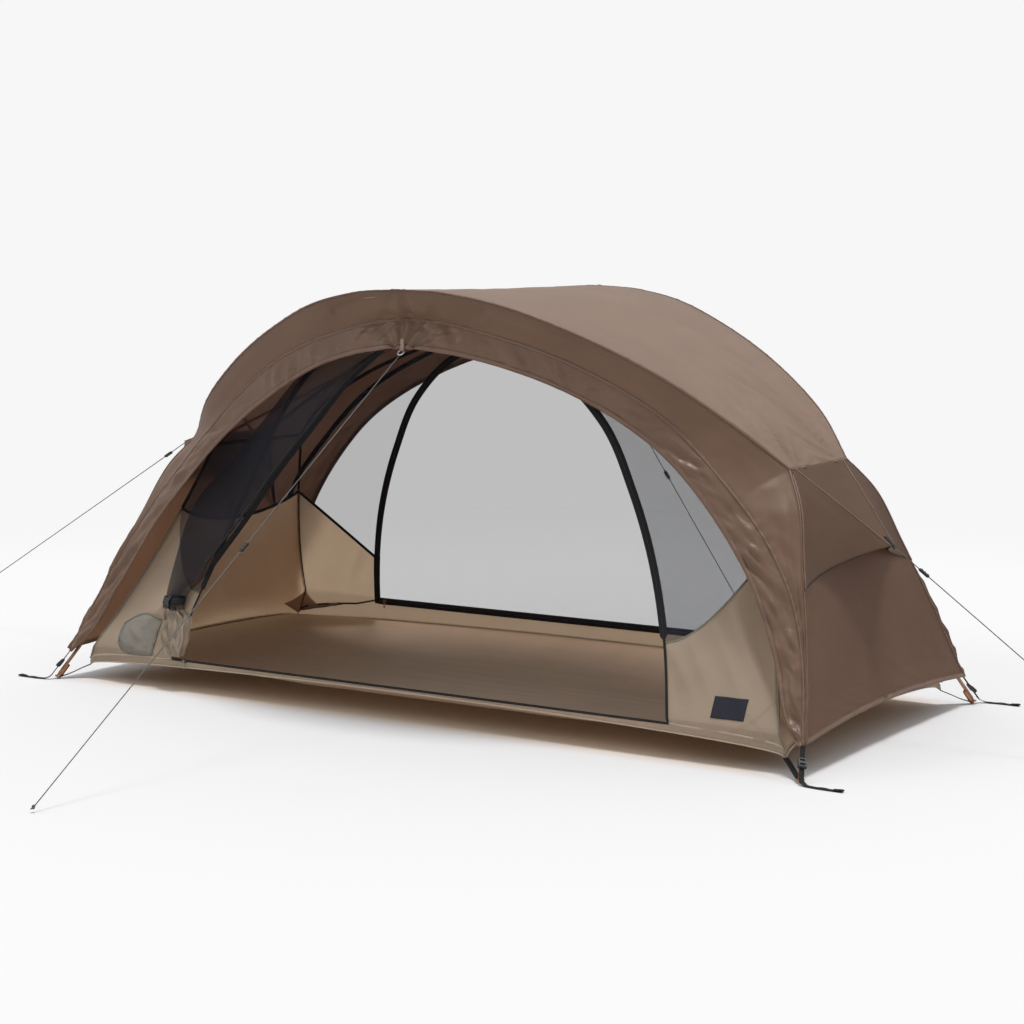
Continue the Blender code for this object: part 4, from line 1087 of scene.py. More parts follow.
INNER_X = 1.040
INNER_Y = 0.452
WALL_BREAK = 0.010
SILLS = {-1: 0.080, 1: 0.118}
FLOOR_THICK = 0.0010
FLOOR_FLAT = 0.0008
EDGE_LOW = 0.036
EDGE_RISE = 0.033
END_RISE = 0.036
CORNER_TOP = 0.452
END_DIP = 0.050
END_WALL_FOOT = 0.0394
CORNER_GAP = 0.0013
SHOULDER_Z = 0.630
PANEL_TOP_Z = 0.250
INNER_RIDGE = [(0, 0.985), (0.25, 0.955), (0.45, 0.885), (0.65, 0.785), (0.78, 0.680), (0.815, 0.632)]
DOOR_ARC = [(0.700, 0.250), (0.645, 0.410), (0.567, 0.587), (0.480, 0.745), (0.375, 0.850),
            (0.20, 0.918), (0, 0.938)]
DOOR_FOOT_X = {-1: 0.745, 1: 0.738}
SIDE_LEAN = (0.10, 0.60)
END_LEAN = 0.38
END_UPRIGHT = 0.045
FLAT_SHARE = 0.35
SIDES = {"front": -1, "rear": 1}
ENDS = {"left": -1, "right": 1}


def wall_y(x, z, sy):
    """The side walls stand up to just above the zip and then lean in, more so near the ends."""
    upright = np.where(np.asarray(sy) < 0, SILLS[-1], SILLS[1]) + WALL_BREAK
    return INNER_Y - np.maximum(0.0, z - upright) * (SIDE_LEAN[0] + SIDE_LEAN[1] * x * x)


def end_x(z):
    """The end walls lean in from just above the ground."""
    return INNER_X - END_LEAN * np.maximum(0.0, np.asarray(z) - END_UPRIGHT)


def on_wall(x, z, sy, out=0.0):
    """Points on a side wall, or a little way out from it."""
    return np.stack(np.broadcast_arrays(x, sy * (wall_y(x, z, sy) + out), z), axis=-1)


def middle_share(x, half=INNER_X):
    """One in the middle of a side of the floor, nothing at its corners, steep near the corners."""
    return np.cos(np.minimum(np.abs(x) / half, 1) * math.pi / 2) ** 0.4


def floor_edge(x):
    """Height of the tub's bottom edge: low at the corners, pulled up in the middle."""
    return EDGE_LOW + EDGE_RISE * middle_share(x)


def upturn(share):
    """The floor lies flat in the middle and rises smoothly to its hung edge."""
    return np.maximum(0.0, (np.abs(share) - FLAT_SHARE) / (1 - FLAT_SHARE)) ** 1.5


def sill_top(x, sill):
    """Height of the sill's top edge, which comes down toward the corners."""
    edge = floor_edge(x)
    return edge + 0.010 + (sill - 0.002 - edge - 0.010) * middle_share(x)


def foot_line(x, sy):
    """Height where the tub meets what stands on it: straight along the zip, then down to the corner."""
    foot = DOOR_FOOT_X[sy]
    sill = SILLS[sy]
    last = sill_top(INNER_X, sill) + 0.004
    slope = sill + (last - sill) * (np.abs(x) - foot) / (INNER_X - foot)
    return np.where(np.abs(x) < foot, sill - 0.001, np.maximum(slope, sill_top(x, sill) + 0.0018))


SILL_STEPS = 6
REAR_STEPS = 8
FLOOR_CELLS = 96
FLOOR_EDGES = {-1: SILL_STEPS, 1: SILL_STEPS + FLOOR_CELLS}


def floor_surface():
    """Rows along the tent; across: down the front sill's inside, over the floor, up the rear sill."""
    even = np.linspace(-1, 1, 131)
    xs = INNER_X * np.sin(even * math.pi / 2) * 0.35 + INNER_X * 0.65 * even
    across = np.linspace(-1, 1, FLOOR_CELLS + 1)
    up = upturn(across)
    end = EDGE_LOW + END_RISE * middle_share(across, 1)
    y = np.concatenate([np.full(SILL_STEPS, -INNER_Y), across * INNER_Y, np.full(REAR_STEPS, INNER_Y)])
    rows = []
    for x in xs:
        z = np.maximum(FLOOR_FLAT, floor_edge(x) * up + (end - EDGE_LOW * up) * upturn(x / INNER_X))
        front = np.linspace(float(foot_line(x, -1)), z[0], SILL_STEPS + 1)[:-1]
        rear = np.linspace(z[-1], float(foot_line(x, 1)), REAR_STEPS + 1)[1:]
        rows.append(np.stack([np.full(len(y), x), y, np.concatenate([front, z, rear])], axis=1))
    return np.array(rows)


def floor_folds(x, y):
    """Heights of the floor's folds: long ones along the tent and short ones fanning out of its corners."""
    flat = (1 - np.abs(x / INNER_X) ** 6) * (1 - np.abs(y / INNER_Y) ** 10)
    to_end, to_side = INNER_X - np.abs(x), INNER_Y - np.abs(y)
    reach = np.sqrt(to_end ** 2 + to_side ** 2)
    fan = np.cos(16 * np.arctan2(to_side, to_end + 1e-6)) * np.exp(-reach / 0.13)
    long_folds = creases(x * 1.6 + 0.3 * y, y * 17 + 0.8 * x, 71)
    fine_folds = creases(x * 2.1 + 1, y * 30 + 1.5 * x, 73) * fade(x, -0.5, 0.6)
    return flat * (0.0017 * long_folds + 0.0011 * fine_folds + 0.0012 * ripple(x * 7, y * 9, 72)
                   + 0.0030 * fan * fade(reach, 0.01, 0.06))


floor_grid = floor_surface()
floor_grid[..., 2] += np.maximum(floor_folds(floor_grid[..., 0], floor_grid[..., 1]), -0.0002)
tub = cloth("tub_floor", [floor_grid], FLOOR_THICK, [floor_fabric, beige_fabric], side=1,
            tones=lambda row, column: 0 if FLOOR_EDGES[-1] <= column < FLOOR_EDGES[1] else 1)
tub_folds = []
for sy, column in FLOOR_EDGES.items():
    x, _, z = floor_grid[:, column].T
    tub_folds.append(np.stack([on_wall(x, z - 0.001, sy, 0.0012), on_wall(x, z + 0.003, sy, 0.0014)], axis=1))
tub_hem = trim("tub_hem", tub_folds, SEAM_THICK, beige_hem)
hem_line = tub_folds[0][:, 1] + (0, -0.0004, 0.002)
hem_thread = stitched("tub_hem_stitching", [hem_line], beige_thread, HEM_STITCH)
declare(tub, ["floor_tub"])


def corner_heights(sill):
    """Heights shared by the end walls and the side panels where they meet."""
    upright = sill + WALL_BREAK
    return np.array([END_WALL_FOOT, upright] + list(np.linspace(upright, CORNER_TOP, 4)[1:]))


def across_end(sx, front_z, rear_z, dip, rise=0.0):
    """A grid across the tent's end, from heights at its front and rear edges and the dip and rise between."""
    c = np.linspace(-1, 1, END_CELLS + 1)[None, :]
    low, high = np.array(front_z)[:, None], np.array(rear_z)[:, None]
    z = low + (high - low) * (c + 1) / 2 - np.array(dip)[:, None] * (1 - c * c)
    z = z + (np.array(rise) + 0 * front_z)[:, None] * middle_share(c, 1)
    x = end_x(z)
    y = c * (wall_y(x, z, np.broadcast_to(c, z.shape)) - CORNER_GAP)
    return np.stack([sx * x, y, z], axis=-1)


def hung(grid, outward, height, hold=6):
    """Moves a panel's inner points out by a height, and holds its edges where they are sewn."""
    r, c = grid.shape[:2]
    u = np.linspace(-1, 1, r)[:, None]
    v = np.linspace(-1, 1, c)[None, :]
    free = (1 - np.abs(u) ** hold) * (1 - np.abs(v) ** hold)
    return grid + facing(grid, outward) * (height * free)[..., None]


def strip(line, way, normal, width, lift=0.0):
    """A flat tape centred on a line, across a given direction."""
    side = unit(np.broadcast_to(np.array(way, float), line.shape)) * width / 2
    up = np.broadcast_to(np.array(normal, float), line.shape) * lift
    return np.stack([line - side + up, line + up * 1.2, line + side + up], axis=1)


def against(grid, x, z, lift):
    """Points at the given places that lie on the outside of a front panel, whatever its folds."""
    rows, cols = grid.shape[:2]
    faces = [(i * cols + c, i * cols + c + 1, (i + 1) * cols + c + 1, (i + 1) * cols + c)
             for i in range(rows - 1) for c in range(cols - 1)]
    tree = BVHTree.FromPolygons([tuple(p) for p in grid.reshape(-1, 3)], faces)
    x, z, lift = np.broadcast_arrays(x, z, lift)
    y = -wall_y(x, z, -1)
    for spot in np.ndindex(x.shape):
        hit = tree.ray_cast((x[spot], -1.0, z[spot]), (0, 1.0, 0))[0]
        y[spot] = (hit[1] if hit else y[spot]) - lift[spot]
    return np.stack([x, y, z], axis=-1)


TOP_DIP = {-1: 0.046, 1: 0.008}
ROWS = 31
END_CELLS = 60
END_STRAP_Y = 0.05
END_STRAP_WIDTH = 0.012
WALL_TAPE = 0.008
SHOULDER_TAPE = 0.010
RIM_TAPE = 0.009
RIDGE_TAPE = 0.011
WALL_PIPING = 0.007
PANEL_PIPING = 0.005
NET_HALF = 0.35
ROOF_GRID = (121, 41)
steps = np.linspace(0, 4, ROWS)
front_panels = {}
black_strips, piping_strips, olive_strips, corner_tapes, front_piping = [], [], [], [], []


def end_wall(label, sx):
    """The beige wall and the net above it at one end, with the tapes on them."""
    heights = [np.interp(steps, range(5), corner_heights(SILLS[sy])) for sy in (-1, 1)]
    for side in heights:
        side[0] = EDGE_LOW - 0.0016
    base = across_end(sx, *heights, END_DIP * (steps / 4) ** 2, END_RISE * np.maximum(0, 1 - steps))
    base[0, :, 0] += 0.0012 * sx
    y, z = base[..., 1], base[..., 2]
    drape = 0.0040 * creases(y * 4.5 + z * 2.0, z * 1.6 - y, 81 + sx) + 0.0018 * ripple(y * 12, z * 9, 82)
    wall = hung(base, (sx, 0, 0), drape)
    # The end wall takes the lighter copy of the beige, painted light.
    panel = cloth("end_wall_" + label, [wall], INNER_THICK, [wall_painted_light_fabric])
    share = np.linspace(0, 1, 25)
    net_z = np.linspace(CORNER_TOP + 0.0004, SHOULDER_Z - 0.004, 25)
    net_base = across_end(sx, net_z, net_z, END_DIP * (1 - share))
    y, z = net_base[..., 1], net_base[..., 2]
    net = hung(net_base, (sx, 0, 0), 0.0030 * creases(y * 4, z * 5 + y, 83 + sx))
    mesh = cloth("end_net_" + label, [net], NET_THICK, [side_netting])
    black_strips.append(strip(wall[-1], (0, 0, 1), (sx, 0, 0), WALL_TAPE))
    black_strips.append(strip(net[-1], (0.5 * sx, 0, 1), (sx, 0, 0), SHOULDER_TAPE))
    column = int(round((END_STRAP_Y * sx + NET_HALF) / (2 * NET_HALF) * END_CELLS))
    black_strips.append(strip(net[:, column], (0, 1, 0), (sx, 0, 0), END_STRAP_WIDTH, 0.0006))
    foot_strips = piping_strips if sx < 0 else front_piping
    foot_strips.append(strip(wall[0] + (0, 0, 0.004), (0, 0, 1), (sx, 0, 0), WALL_PIPING))
    declare(panel, ["inner_" + label + "_wall"])
    declare(mesh, ["inner_" + label + "_mesh"])


def roof_surface():
    """The net between the two inner ridges, with a little sag."""
    along = at(whole([(x, 0, z) for x, z in INNER_RIDGE]), np.linspace(0, 1, ROOF_GRID[0]))
    c = np.linspace(-1, 1, ROOF_GRID[1])[None, :]
    x, z = along[:, None, 0], along[:, None, 2]
    reach = wall_y(x, z, np.broadcast_to(np.where(c > 0, 1, -1), ROOF_GRID)) - 0.001
    return np.stack(np.broadcast_arrays(x, reach * c, z - 0.006 * (1 - c * c)), axis=-1)


for label, sx in ENDS.items():
    end_wall(label, sx)
roof_base = roof_surface()
roof = hung(roof_base, (0, 0, 1), 0.0030 * creases(roof_base[..., 0] * 3, roof_base[..., 1] * 6, 85))
roof_net = cloth("roof_net", [roof], NET_THICK, [netting])
declare(roof_net, ["inner_roof_mesh"])
for sy, column in ((-1, 0), (1, -1)):
    black_strips.append(strip(roof_base[:, column], (0, sy, 1.0), (0, sy, 0), RIDGE_TAPE))


def door_path(sy):
    sill = SILLS[sy]
    return [(DOOR_FOOT_X[sy], 0, sill)] + [(x, 0, z) for x, z in DOOR_ARC]


def door_shares(sy):
    """Fractions along half the door's edge where its beige part bends and where its net part begins."""
    line = fine(door_path(sy), 600)
    a = arc_lengths(line)
    split = float(np.interp(PANEL_TOP_Z, line[:200, 2], a[:200]) / a[-1])
    return [0] + list(np.linspace(0.020 / a[-1], split, 4)), split


def from_door(inner, outer, t, sy, dip):
    """Places x and z of a panel's points, from the door's edge to the outer edge, with a dip between."""
    x = inner[:, :1] * (1 - t) + outer[:, :1] * t
    z = inner[:, 2:] * (1 - t) + outer[:, 2:] * t
    return x, z - TOP_DIP[sy] * 4 * t * (1 - t) * dip[:, None]


def side_panels(end, sy):
    """The four cloths beside one door: a beige lower one and a net upper one at each end."""
    sill = SILLS[sy]
    path = door_path(sy)
    bends, split = door_shares(sy)
    low_arc = at(path, np.interp(steps, range(5), bends))
    high_arc = at(path, np.linspace(split, 1, 49))
    corner_z = corner_heights(sill)
    corner_z[0] = sill_top(INNER_X, sill) + 0.004
    corner_z = np.interp(steps, range(5), corner_z)
    outer_low = np.stack([end_x(corner_z), 0 * corner_z, corner_z], axis=1)
    rim = [(float(end_x(z)), 0, z) for z in np.linspace(CORNER_TOP, SHOULDER_Z - 0.0024, 4)]
    rim += [(x, 0, z - 0.0024) for x, z in INNER_RIDGE[::-1][1:]]
    outer_high = at(rim, np.linspace(0, 1, 49))
    low_t = np.concatenate([np.linspace(0, 0.055, 4)[:-1], np.linspace(0.055, 1, 37)])[None, :]
    x, z = from_door(low_arc, outer_low, low_t, sy, (steps / 4) ** 3)
    z[0] = foot_line(x[0], sy)
    high_t = np.linspace(0, 1, 41)[None, :]
    net_x, net_z = from_door(high_arc, outer_high, high_t, sy, np.linspace(1, 0, 49) ** 4)
    top_strips, edge_strips, foot_strips, edge_width = (
        (olive_strips, olive_strips, front_piping, 0.009) if sy < 0
        else (black_strips, corner_tapes, piping_strips, 0.015))
    for label, sx in ENDS.items():
        base = on_wall(x, z, sy) * (sx, 1, 1)
        lean = x + 0.45 * z
        folds = 0.0095 * creases(lean * 9 + z * 2.0, z * 1.8 + sx, 91 + sy) * fade(z, sill, sill + 0.14)
        folds = folds + 0.0026 * ripple(x * 20, z * 16, 92 + sx)
        panel_grid = hung(base, (0, sy, 0), folds, 8)
        panel = cloth(end + "_panel_" + label, [panel_grid], INNER_THICK, [beige_fabric])
        if sy < 0:
            front_panels[label] = panel_grid
        net_base = on_wall(net_x, net_z, sy) * (sx, 1, 1)
        pulls = (0.0034 * creases(net_x * 5 + net_z * 3.5, net_z * 2.4 - net_x, 93 + sx)
                 + 0.0012 * ripple(net_x * 15, net_z * 15, 94))
        net_grid = hung(net_base, (0, sy, 0), pulls)
        net = cloth(end + "_net_" + label, [net_grid], NET_THICK, [side_netting])
        top_strips.append(strip(panel_grid[-1], (0.5 * sx, 0, -1), (0, sy, 0), WALL_TAPE))
        black_strips.append(strip(net_base[:, -1], (sx, 0, 1), (0, sy, 0), RIM_TAPE))
        edge_strips.append(strip(base[:, -1], (-sx, -sy * 0.9, 0), (0, sy, 0), edge_width))
        foot_strips.append(strip(base[0] + (0, 0, 0.001), (0, 0, 1), (0, sy, 0), PANEL_PIPING))
        trims = [patch_edge(sx, panel_grid)] if (end, label) == ("front", "right") else []
        solid = "inner_" + end + "_" + label
        declare(panel, [solid + "_panel"])
        declare(net, [solid + "_mesh"])


PATCH_EDGES = ([(0.905, 0.075), (0.960, 0.108), (0.998, 0.150)],
               [(0.925, 0.120), (0.975, 0.090), (1.012, 0.066)])


def patch_edge(sx, grid):
    """The stitched edge of the reinforcement at the front right corner: two doubled lines that cross."""
    lines = []
    for edge in PATCH_EDGES:
        line = at([(sx * x, 0, z) for x, z in edge], np.linspace(0, 1, 40))
        lines += [against(grid, line[:, 0], line[:, 2] + step, 0.0010) for step in (0.0, 0.006)]
    return stitched("corner_patch_stitching", lines, beige_thread, PANEL_STITCH)


for end, sy in SIDES.items():
    side_panels(end, sy)
trim("black_bindings", black_strips, BINDING_THICK, black_tape)
trim("corner_seam_tapes", corner_tapes, BINDING_THICK, corner_brown)
trim("foot_piping", piping_strips, BINDING_THICK, corner_brown)
trim("olive_bindings", olive_strips, FRONT_BINDING_THICK, olive_binding)
trim("front_foot_piping", front_piping, FRONT_BINDING_THICK, beige_hem)

GUSSET_HIGH = 0.085
GUSSET_LONG = 0.090
GUSSET_IN = 0.0030


def gussets(sx, sy):
    """The two triangles of stronger cloth that meet at an inner corner, one on each wall."""
    a = np.linspace(0, 1, 15)[:, None]
    b = np.linspace(0, 1, 13)[None, :]
    z = END_WALL_FOOT + 0.004 + GUSSET_HIGH * a + 0.030 * b * (1 - a)
    reach = GUSSET_LONG * (1 - a) ** 1.5 * b + 0.0004
    x = end_x(z) - 0.004 - reach
    side = on_wall(x, np.maximum(z, foot_line(x, sy) + 0.003), sy, -GUSSET_IN) * (sx, 1, 1)
    across = sy * (wall_y(end_x(z), z, sy) - 0.004 - reach)
    across_foot = z + END_RISE * middle_share(across, INNER_Y) * (1 - a)
    end = np.stack([sx * (end_x(across_foot) - GUSSET_IN), across, across_foot], axis=-1)
    return [side, end]


trim("corner_gussets", [grid for sx in (-1, 1) for sy in (-1, 1) for grid in gussets(sx, sy)],
     GUSSET_THICK, gusset_brown)

door_rows = at(door_path(1), np.linspace(0, 0.985, 61))
c = np.linspace(-1, 1, 81)[None, :]
rear_base = on_wall(door_rows[:, :1] * c, np.broadcast_to(door_rows[:, 2:], (61, 81)), 1)
x, z = rear_base[..., 0], rear_base[..., 2]
loose = 0.0045 * creases(x * 1.9 + z * 0.7, z * 5.5 + x * 0.6, 96) + 0.0022 * ripple(x * 9, z * 16, 97)
loose = loose + 0.0035 * creases(x * 2.4, z * 22, 98) * (1 - fade(z, 0.13, 0.22))
rear_grid = hung(rear_base, (0, 1, 0), loose, 10)
rear_net = cloth("rear_door_net", [rear_grid], NET_THICK, [netting])
declare(rear_net, ["rear_door_mesh"])

# Zips: a tape with a coil of teeth along its middle, round each door

ZIP_LOOKS = {-1: (0.0023, 0.006), 1: (-0.0037, 0.020)}
ZIP_WIDTH = 0.018
ZIP_ROWS = ((-0.5, 0.0), (-0.12, 0.0003), (0.12, 0.0003), (0.5, 0.0))


def zip_ring(sy):
    """The middle of the zip's tape round the door, and the direction across the tape at each point."""
    foot = DOOR_FOOT_X[sy]
    arc = at(door_path(sy), np.linspace(0, 1, 150))[:, (0, 2)]
    base = np.stack([np.linspace(-foot, foot, 120)[1:-1], np.full(118, SILLS[sy])], axis=1)
    ring = np.concatenate([arc, (arc * (-1, 1))[::-1][1:], base])
    way = unit(np.roll(ring, -1, axis=0) - np.roll(ring, 1, axis=0))
    return ring, np.stack([way[:, 1], -way[:, 0]], axis=1)


def zip_line(sy, side, lift):
    """A line along the zip: side is its place across the tape, lift its height over it, outward or inward."""
    out, low_width = ZIP_LOOKS[sy]
    ring, over = zip_ring(sy)
    width = np.where(ring[:, 1] > PANEL_TOP_Z + 0.01, ZIP_WIDTH, low_width)
    spot = ring + over * (side * width)[:, None]
    return on_wall(spot[:, 0], spot[:, 1], sy, out + lift * np.sign(out))


for end, sy in SIDES.items():
    rows = [zip_line(sy, side, lift) for side, lift in ZIP_ROWS]
    tape = cloth(end + "_zip_tape", [np.stack(rows, axis=1)], ZIP_TAPE_THICK, [black_tape], loop=True)
    dressed(tape, end + "_zip_track")
    coil = zip_line(sy, 0.0, 0.0009)
    stitched(end + "_zip_coil", [np.concatenate([coil, coil[:1]])], zip_coil, ZIP_TOOTH)
    if end == "front":
        edges = [zip_line(sy, side, 0.0008) for side in (-0.40, 0.40)]
        stitched("front_zip_stitching", edges, black_thread, ZIP_STITCH)

# Front door: a net sheet drawn to the left, folded back and forth and tied; its foot is beige cloth

DOOR_SHAPE = [(-0.320, 0.905, -0.080, 0.932, 0.004), (-0.450, 0.810, -0.225, 0.825, 0.007),
              (-0.560, 0.711, -0.345, 0.707, 0.009), (-0.690, 0.590, -0.475, 0.574, 0.012),
              (-0.800, 0.482, -0.565, 0.462, 0.015), (-0.815, 0.425, -0.615, 0.400, 0.017),
              (-0.812, 0.350, -0.660, 0.342, 0.018), (-0.810, 0.300, -0.695, 0.290, 0.018),
              (-0.805, 0.250, -0.737, 0.246, 0.018), (-0.798, 0.218, -0.741, 0.215, 0.018),
              (-0.792, 0.180, -0.708, 0.188, 0.017), (-0.784, 0.132, -0.694, 0.140, 0.015),
              (-0.752, 0.092, -0.700, 0.092, 0.010)]
BUNDLE_OUT = 0.0042
DOOR_PASSES = 2
DOOR_FOOT_Z = 0.208
DOOR_MIDDLE = 1.16
DOOR_SPREAD = 0.92
TAPED_ROWS = 122
DOOR_TAPES = ((-1, 0.007), (0, 0.016))
stations = np.linspace(0, 1, 161)
bundle = at(DOOR_SHAPE, stations)
phase = np.linspace(0, DOOR_PASSES, DOOR_PASSES * 40 + 1)
p, q = np.meshgrid(stations, phase, indexing="ij")
pass_share = 0.90 + 0.10 * ripple(q * 0.9 + 3, p * 2.2, 101)
u = np.cos(math.pi * q) * np.where((q > DOOR_PASSES - 1.1) | (q < 0.6), 1.0, pass_share)
depth = (-1 + 2 * q / DOOR_PASSES + 0.45 * ripple(u * 3.4 + q * 0.3, p * 1.8, 102)
         + 0.12 * ripple(u * 9, p * 3 + q, 103))
bundle_mid = bundle[:, :2] / 2 + bundle[:, 2:4] / 2
crumple = fade(-bundle_mid[:, 1:], -0.235, -0.190)
depth = depth + crumple * (0.75 * ripple(u * 4 + q, p * 26, 104) + 0.35 * ripple(u * 9 + q, p * 50, 105))
share = (1 + u * (1 + 0.10 * crumple * ripple(q, p * 30, 106))) / 2
x = bundle[:, 0:1] * (1 - share) + bundle[:, 2:3] * share
z = bundle[:, 1:2] * (1 - share) + bundle[:, 3:4] * share
out = BUNDLE_OUT + bundle[:, 4:] * (DOOR_MIDDLE + DOOR_SPREAD * np.clip(depth, -1.15, 1.15))
door_grid = on_wall(x, z, -1, out)
door = cloth("front_door_net", [door_grid], 0, [door_netting, door_foot],
             tones=lambda row, column: 1 if bundle_mid[row, 1] < DOOR_FOOT_Z else 0)
door_edges = [strip(door_grid[:TAPED_ROWS, column], (1.0, 0, -0.5), (0, -1, 0), width, 0.0012)
              for column, width in DOOR_TAPES]
door_tapes = trim("front_door_edge_tapes", door_edges, TAPE_THICK, black_tape)

TIE_AT = (-0.7695, 0.230)
TIE_HALF = (0.0360, 0.0240)
TIE_WIDTH = 0.018
TIE_DEPTH = 0.0183
angle = round_angles(64)[:, None]
tie_x = TIE_AT[0] + np.cos(angle) * TIE_HALF[0]
tie_z = TIE_AT[1] + TIE_WIDTH * np.linspace(-0.5, 0.5, 5)[None, :]
tie_y = wall_y(tie_x, tie_z, -1) + BUNDLE_OUT + DOOR_MIDDLE * TIE_DEPTH + np.sin(angle) * TIE_HALF[1]
tie_grid = np.stack(np.broadcast_arrays(tie_x, -tie_y, tie_z), axis=-1)
dressed(cloth("door_tie_webbing", [tie_grid], TIE_THICK, [black_webbing], loop=True), "door_tie")
declare(door, ["front_door_roll"])

# Pocket and the bare woven patch

POCKET_X = (-0.952, -0.818)
POCKET_FOOT = 0.104
POCKET_MOUTH = 0.150
POCKET_PUFF = 0.017
OVER_PANEL = 0.0014
u = np.linspace(0, 1, 41)[None, :]
t = np.linspace(0, 1, 29)[:, None]
mouth = POCKET_MOUTH + 0.034 * np.sin(math.pi / 2 * np.minimum(1, u / 0.65)) - 0.010 * fade(u, 0.75, 1.0)
foot = POCKET_FOOT - 0.023 * np.sin(math.pi / 2 * np.minimum(1, u / 0.40)) + 0.004 * fade(u, 0.8, 1.0)
x = POCKET_X[0] + (POCKET_X[1] - POCKET_X[0]) * u + 0.010 * (1 - t) ** 2 * (1 - u) ** 4
z = foot + (mouth - foot) * t
puff = (POCKET_PUFF * np.sin(math.pi * np.clip(t * 0.86 + 0.02, 0, 1)) ** 0.7
        * np.sin(math.pi * np.clip(u, 0.001, 0.999)) ** 0.5)
puff = (puff + 0.0040 * creases(u * 3 + t, t * 2.5 + u, 111) * np.sin(math.pi * t)
        + 0.0015 * ripple(u * 12, t * 8, 112))
pocket_grid = against(front_panels["left"], x, z, OVER_PANEL + np.maximum(puff, 0))
pocket = cloth("gear_pocket_net", [pocket_grid], NET_THICK, [pocket_net])
rim = [strip(line, way, (0, -1, 0), width, 0.0005)
       for line, way, width in ((pocket_grid[-1], (0, 0, 1), 0.007), (pocket_grid[:, 0], (1, 0, 0), 0.005),
                                (pocket_grid[:, -1], (1, 0, 0), 0.005), (pocket_grid[0], (0, 0, 1), 0.005))]
pocket_rim = trim("gear_pocket_binding", rim, TAPE_THICK, olive_binding)
declare(pocket, ["gear_pocket"])

PATCH_X = (0.850, 0.932)
PATCH_Z = (0.104, 0.150)
patch_x, patch_z = np.meshgrid(np.linspace(*PATCH_X, 25), np.linspace(*PATCH_Z, 15))
patch_grid = against(front_panels["right"], patch_x, patch_z,
                     OVER_PANEL + 0.0003 * ripple(patch_x * 40, patch_z * 40, 121))
patch = cloth("bare_woven_patch", [patch_grid], PATCH_THICK, [navy_patch])
inset = patch_grid[1:-1, 1:-1] + (0, -0.0009, 0)
patch_line = np.concatenate([inset[0], inset[:, -1], inset[-1][::-1], inset[:, 0][::-1]])
patch_thread = stitched("patch_stitching", [patch_line], black_thread, PATCH_STITCH)
declare(patch, ["woven_patch"])

# Corners: a strap from the fly to the ground with its ladder-lock, and the inner tent's foot strap

STRAP_TOP = np.array((1.0923, 0.4749, 0.0724))
STRAP_LOW = np.array((1.1150, 0.5270, 0.0100))
STRAP_SHARES = (0, 0.35, 0.7, 0.88, 1)
TAIL = [(1.1270, 0.5340, 0.0030), (1.1480, 0.5380, 0.0016), (1.1780, 0.5400, 0.0016),
        (1.2180, 0.5400, 0.0016)]
TAIL_FOLD = [(1.2180, 0.5400, 0.0020), (1.2195, 0.5400, 0.0036), (1.2160, 0.5400, 0.0046),
             (1.2050, 0.5400, 0.0040), (1.1960, 0.5400, 0.0034)]
FOOT_PATH = [(1.0410, 0.4528, 0.0362), (1.060, 0.468, 0.026), (1.083, 0.4885, 0.0125),
             (1.1014, 0.5057, 0.0045)]
TIP = np.array((1.105, 0.510, 0.0))
POLE_WAY = unit(np.array((1.105, 0.510, 0.0060)) - np.array((1.087, 0.468, 0.060)))
FERRULE = {0.046: 0.0048, 0.045: 0.0054, 0.014: 0.0054, 0.010: 0.0054, 0.0095: 0.0046, 0.004: 0.0046,
           0.0012: 0.0030}
GROMMET_RISE = np.array((0, 0, 0.0075))
GROMMET_RADIUS = 0.0078
GROMMET_WIRE = 0.0017
CORNER_WEBBING = 0.012
FOOT_WEBBING = 0.014
CORNERS = {"front_left": (-1, -1), "front_right": (1, -1), "rear_right": (1, 1), "rear_left": (-1, 1)}


def ribbon_grid(path, across, width):
    """A strap centred on a path, five points across."""
    side = unit(across) * width / 2
    return np.stack([path - side, path - side * 0.5, path, path + side * 0.5, path + side], axis=1)


def corner(label, sx, sy):
    """The strap with its folded tail, the inner tent's foot strap, and the pole tip in its grommet."""
    mirror = np.array((sx, sy, 1.0))
    route = [tuple(STRAP_TOP + (STRAP_LOW - STRAP_TOP) * k) for k in STRAP_SHARES] + TAIL
    path = at(route, np.linspace(0, 1, 70))
    turn = fade(path[:, 0], 1.114, 1.150)[:, None]
    across = np.array((0.70, -0.70, 0)) * (1 - turn) + np.array((0.10, -1.0, 0)) * turn
    path[:, 2] += 0.0012 * np.maximum(0, np.sin((path[:, 0] - 1.15) * 90)) * fade(path[:, 0], 1.15, 1.17)
    fold = at(TAIL_FOLD, np.linspace(0, 1, 24))
    grids = [ribbon_grid(path, across, CORNER_WEBBING) * mirror,
             ribbon_grid(fold, np.array((0.0, -1.0, 0)) + 0 * fold, CORNER_WEBBING) * mirror]
    webbing = cloth("corner_webbing_" + label, grids, WEBBING_THICK, [black_webbing])
    dressed(webbing, "corner_strap_" + label)
    foot = at(FOOT_PATH, np.linspace(0, 1, 30))
    foot_grid = ribbon_grid(foot, np.array((0.60, -0.80, 0)) + 0 * foot, FOOT_WEBBING) * mirror
    strap = cloth("foot_webbing_" + label, [foot_grid], WEBBING_THICK, [black_webbing])
    dressed(strap, "foot_strap_" + label)
    tip = TIP + POLE_WAY * (-0.001)
    axis = [(tip - POLE_WAY * back) * mirror for back in FERRULE]
    centre = (TIP + GROMMET_RISE) * mirror
    ring = [centre + GROMMET_RADIUS * np.array((math.cos(b), math.sin(b), 0)) for b in round_angles(27)]
    for name, tube_parts in (("pole_tip_", (axis, list(FERRULE.values()), 20, False)),
                             ("foot_grommet_", (ring, GROMMET_WIRE, 10, True))):
        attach(tubes(name + label, [tube_parts], copper_tip), TENT)


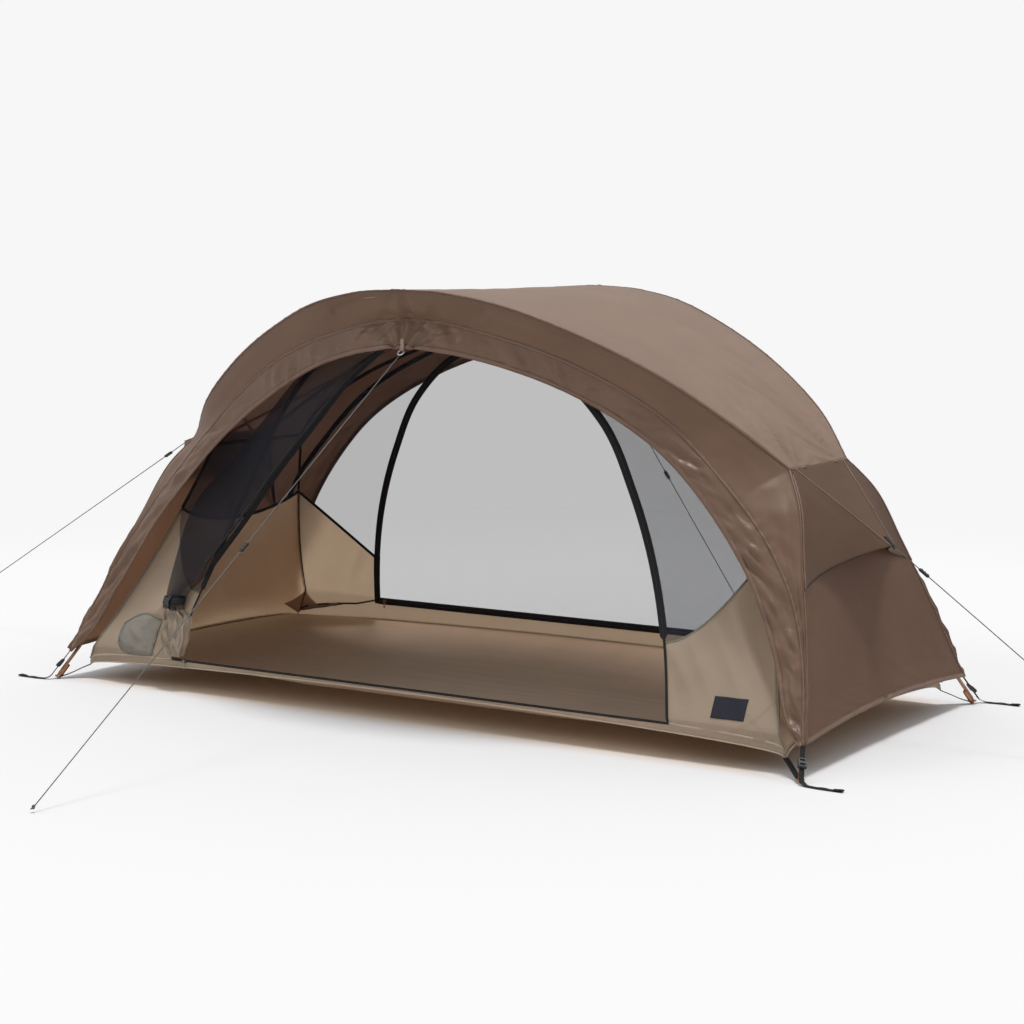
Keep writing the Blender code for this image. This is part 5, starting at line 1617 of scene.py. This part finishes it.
for label, (sx, sy) in CORNERS.items():
    corner(label, sx, sy)

# Hooks: a bright wire ring at the front, and a pale webbing tab on each lip

HOOK_AT = np.array((0, -0.4494, 0.9064))
HOOK_RADIUS = 0.0085
HOOK_WIRE = 0.0013
TAB_WIDTH = 0.010
TAB_CELLS = 5
down = np.array((0, -0.70, -0.71))
ring = [HOOK_AT + HOOK_RADIUS * (math.cos(b) * np.array((1.0, 0, 0)) + math.sin(b) * down)
        for b in round_angles(40)]
dressed(tubes("guy_hook_ring", [(ring, HOOK_WIRE, 12, True)], steel), "front_guy_ring")
middle_row = LEG_STEPS + RIDGE_STEPS // 2
for name, end, cells in (("front_lip_tab", HOOK_AT + (0, 0, 0.004), range(TAB_CELLS)),
                         ("rear_lip_tab", (0, 0.4432, 0.9120), range(LAST, LAST - TAB_CELLS, -1))):
    sewn = [fly_grid[middle_row, k] + fly_normal[middle_row, k] * 0.0026 for k in cells]
    path = at([end] + sewn, np.linspace(0, 1, 24))
    tab_grid = ribbon_grid(path, np.array((1.0, 0, 0)) + np.zeros(path.shape), TAB_WIDTH)
    trim(name, [tab_grid], WEBBING_THICK, pale_webbing)

# CAD pieces whose shape stays get softened edges and their own finish; the pullers become loops of cord


def softened(name, body, mat, width):
    """A copy of a CAD piece with rounded edges, in its place."""
    source = bpy.data.objects[name]
    mesh = source.data.copy()
    mesh.transform(source.matrix_world)
    mesh.materials.clear()
    thing = link(name + "_moulded", mesh, [mat])
    edge = thing.modifiers.new("edge", "BEVEL")
    edge.width = width
    edge.segments = 3
    edge.limit_method = "ANGLE"
    edge.angle_limit = math.radians(30)
    settled(thing)
    dressed(thing, name, body)


MOULDED_EDGE = 0.0007
CAST_EDGE = 0.0010
PULLER_CORD = 0.0009
PULLER_BEAD = 0.0016

for label in CORNERS:
    softened("ladder_lock_" + label, "lock_" + label, black_nylon, MOULDED_EDGE)
softened("door_tie_buckle", TENT, black_nylon, MOULDED_EDGE)
for end in SIDES:
    softened(end + "_zip_slider", end + "_slider", zinc, CAST_EDGE)
    low, high = (np.array(corner_at) for corner_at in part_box(end + "_zip_puller"))
    centre, half = (low + high) / 2, (high - low) / 2
    oval = []
    for angle in round_angles(48):
        x, z = oblong(angle, 0.7)
        oval.append(centre + np.array((x * (half[0] - PULLER_CORD), 0, z * (half[2] - PULLER_CORD))))
    bead = [centre + np.array((0, 0, -half[2] * s)) for s in (0.45, 0.95)]
    loop = tubes(end + "_puller_loop", [(oval, PULLER_CORD, 8, True), (bead, PULLER_BEAD, 10, False)],
                 rust_cord if end == "rear" else grey_cord)
    dressed(loop, end + "_zip_puller", end + "_puller")
for thing in bpy.data.objects:
    if thing.type == "MESH" and thing.name.startswith(("front_hoop", "rear_hoop")):
        for place in thing.material_slots:
            place.material = bronze_tube
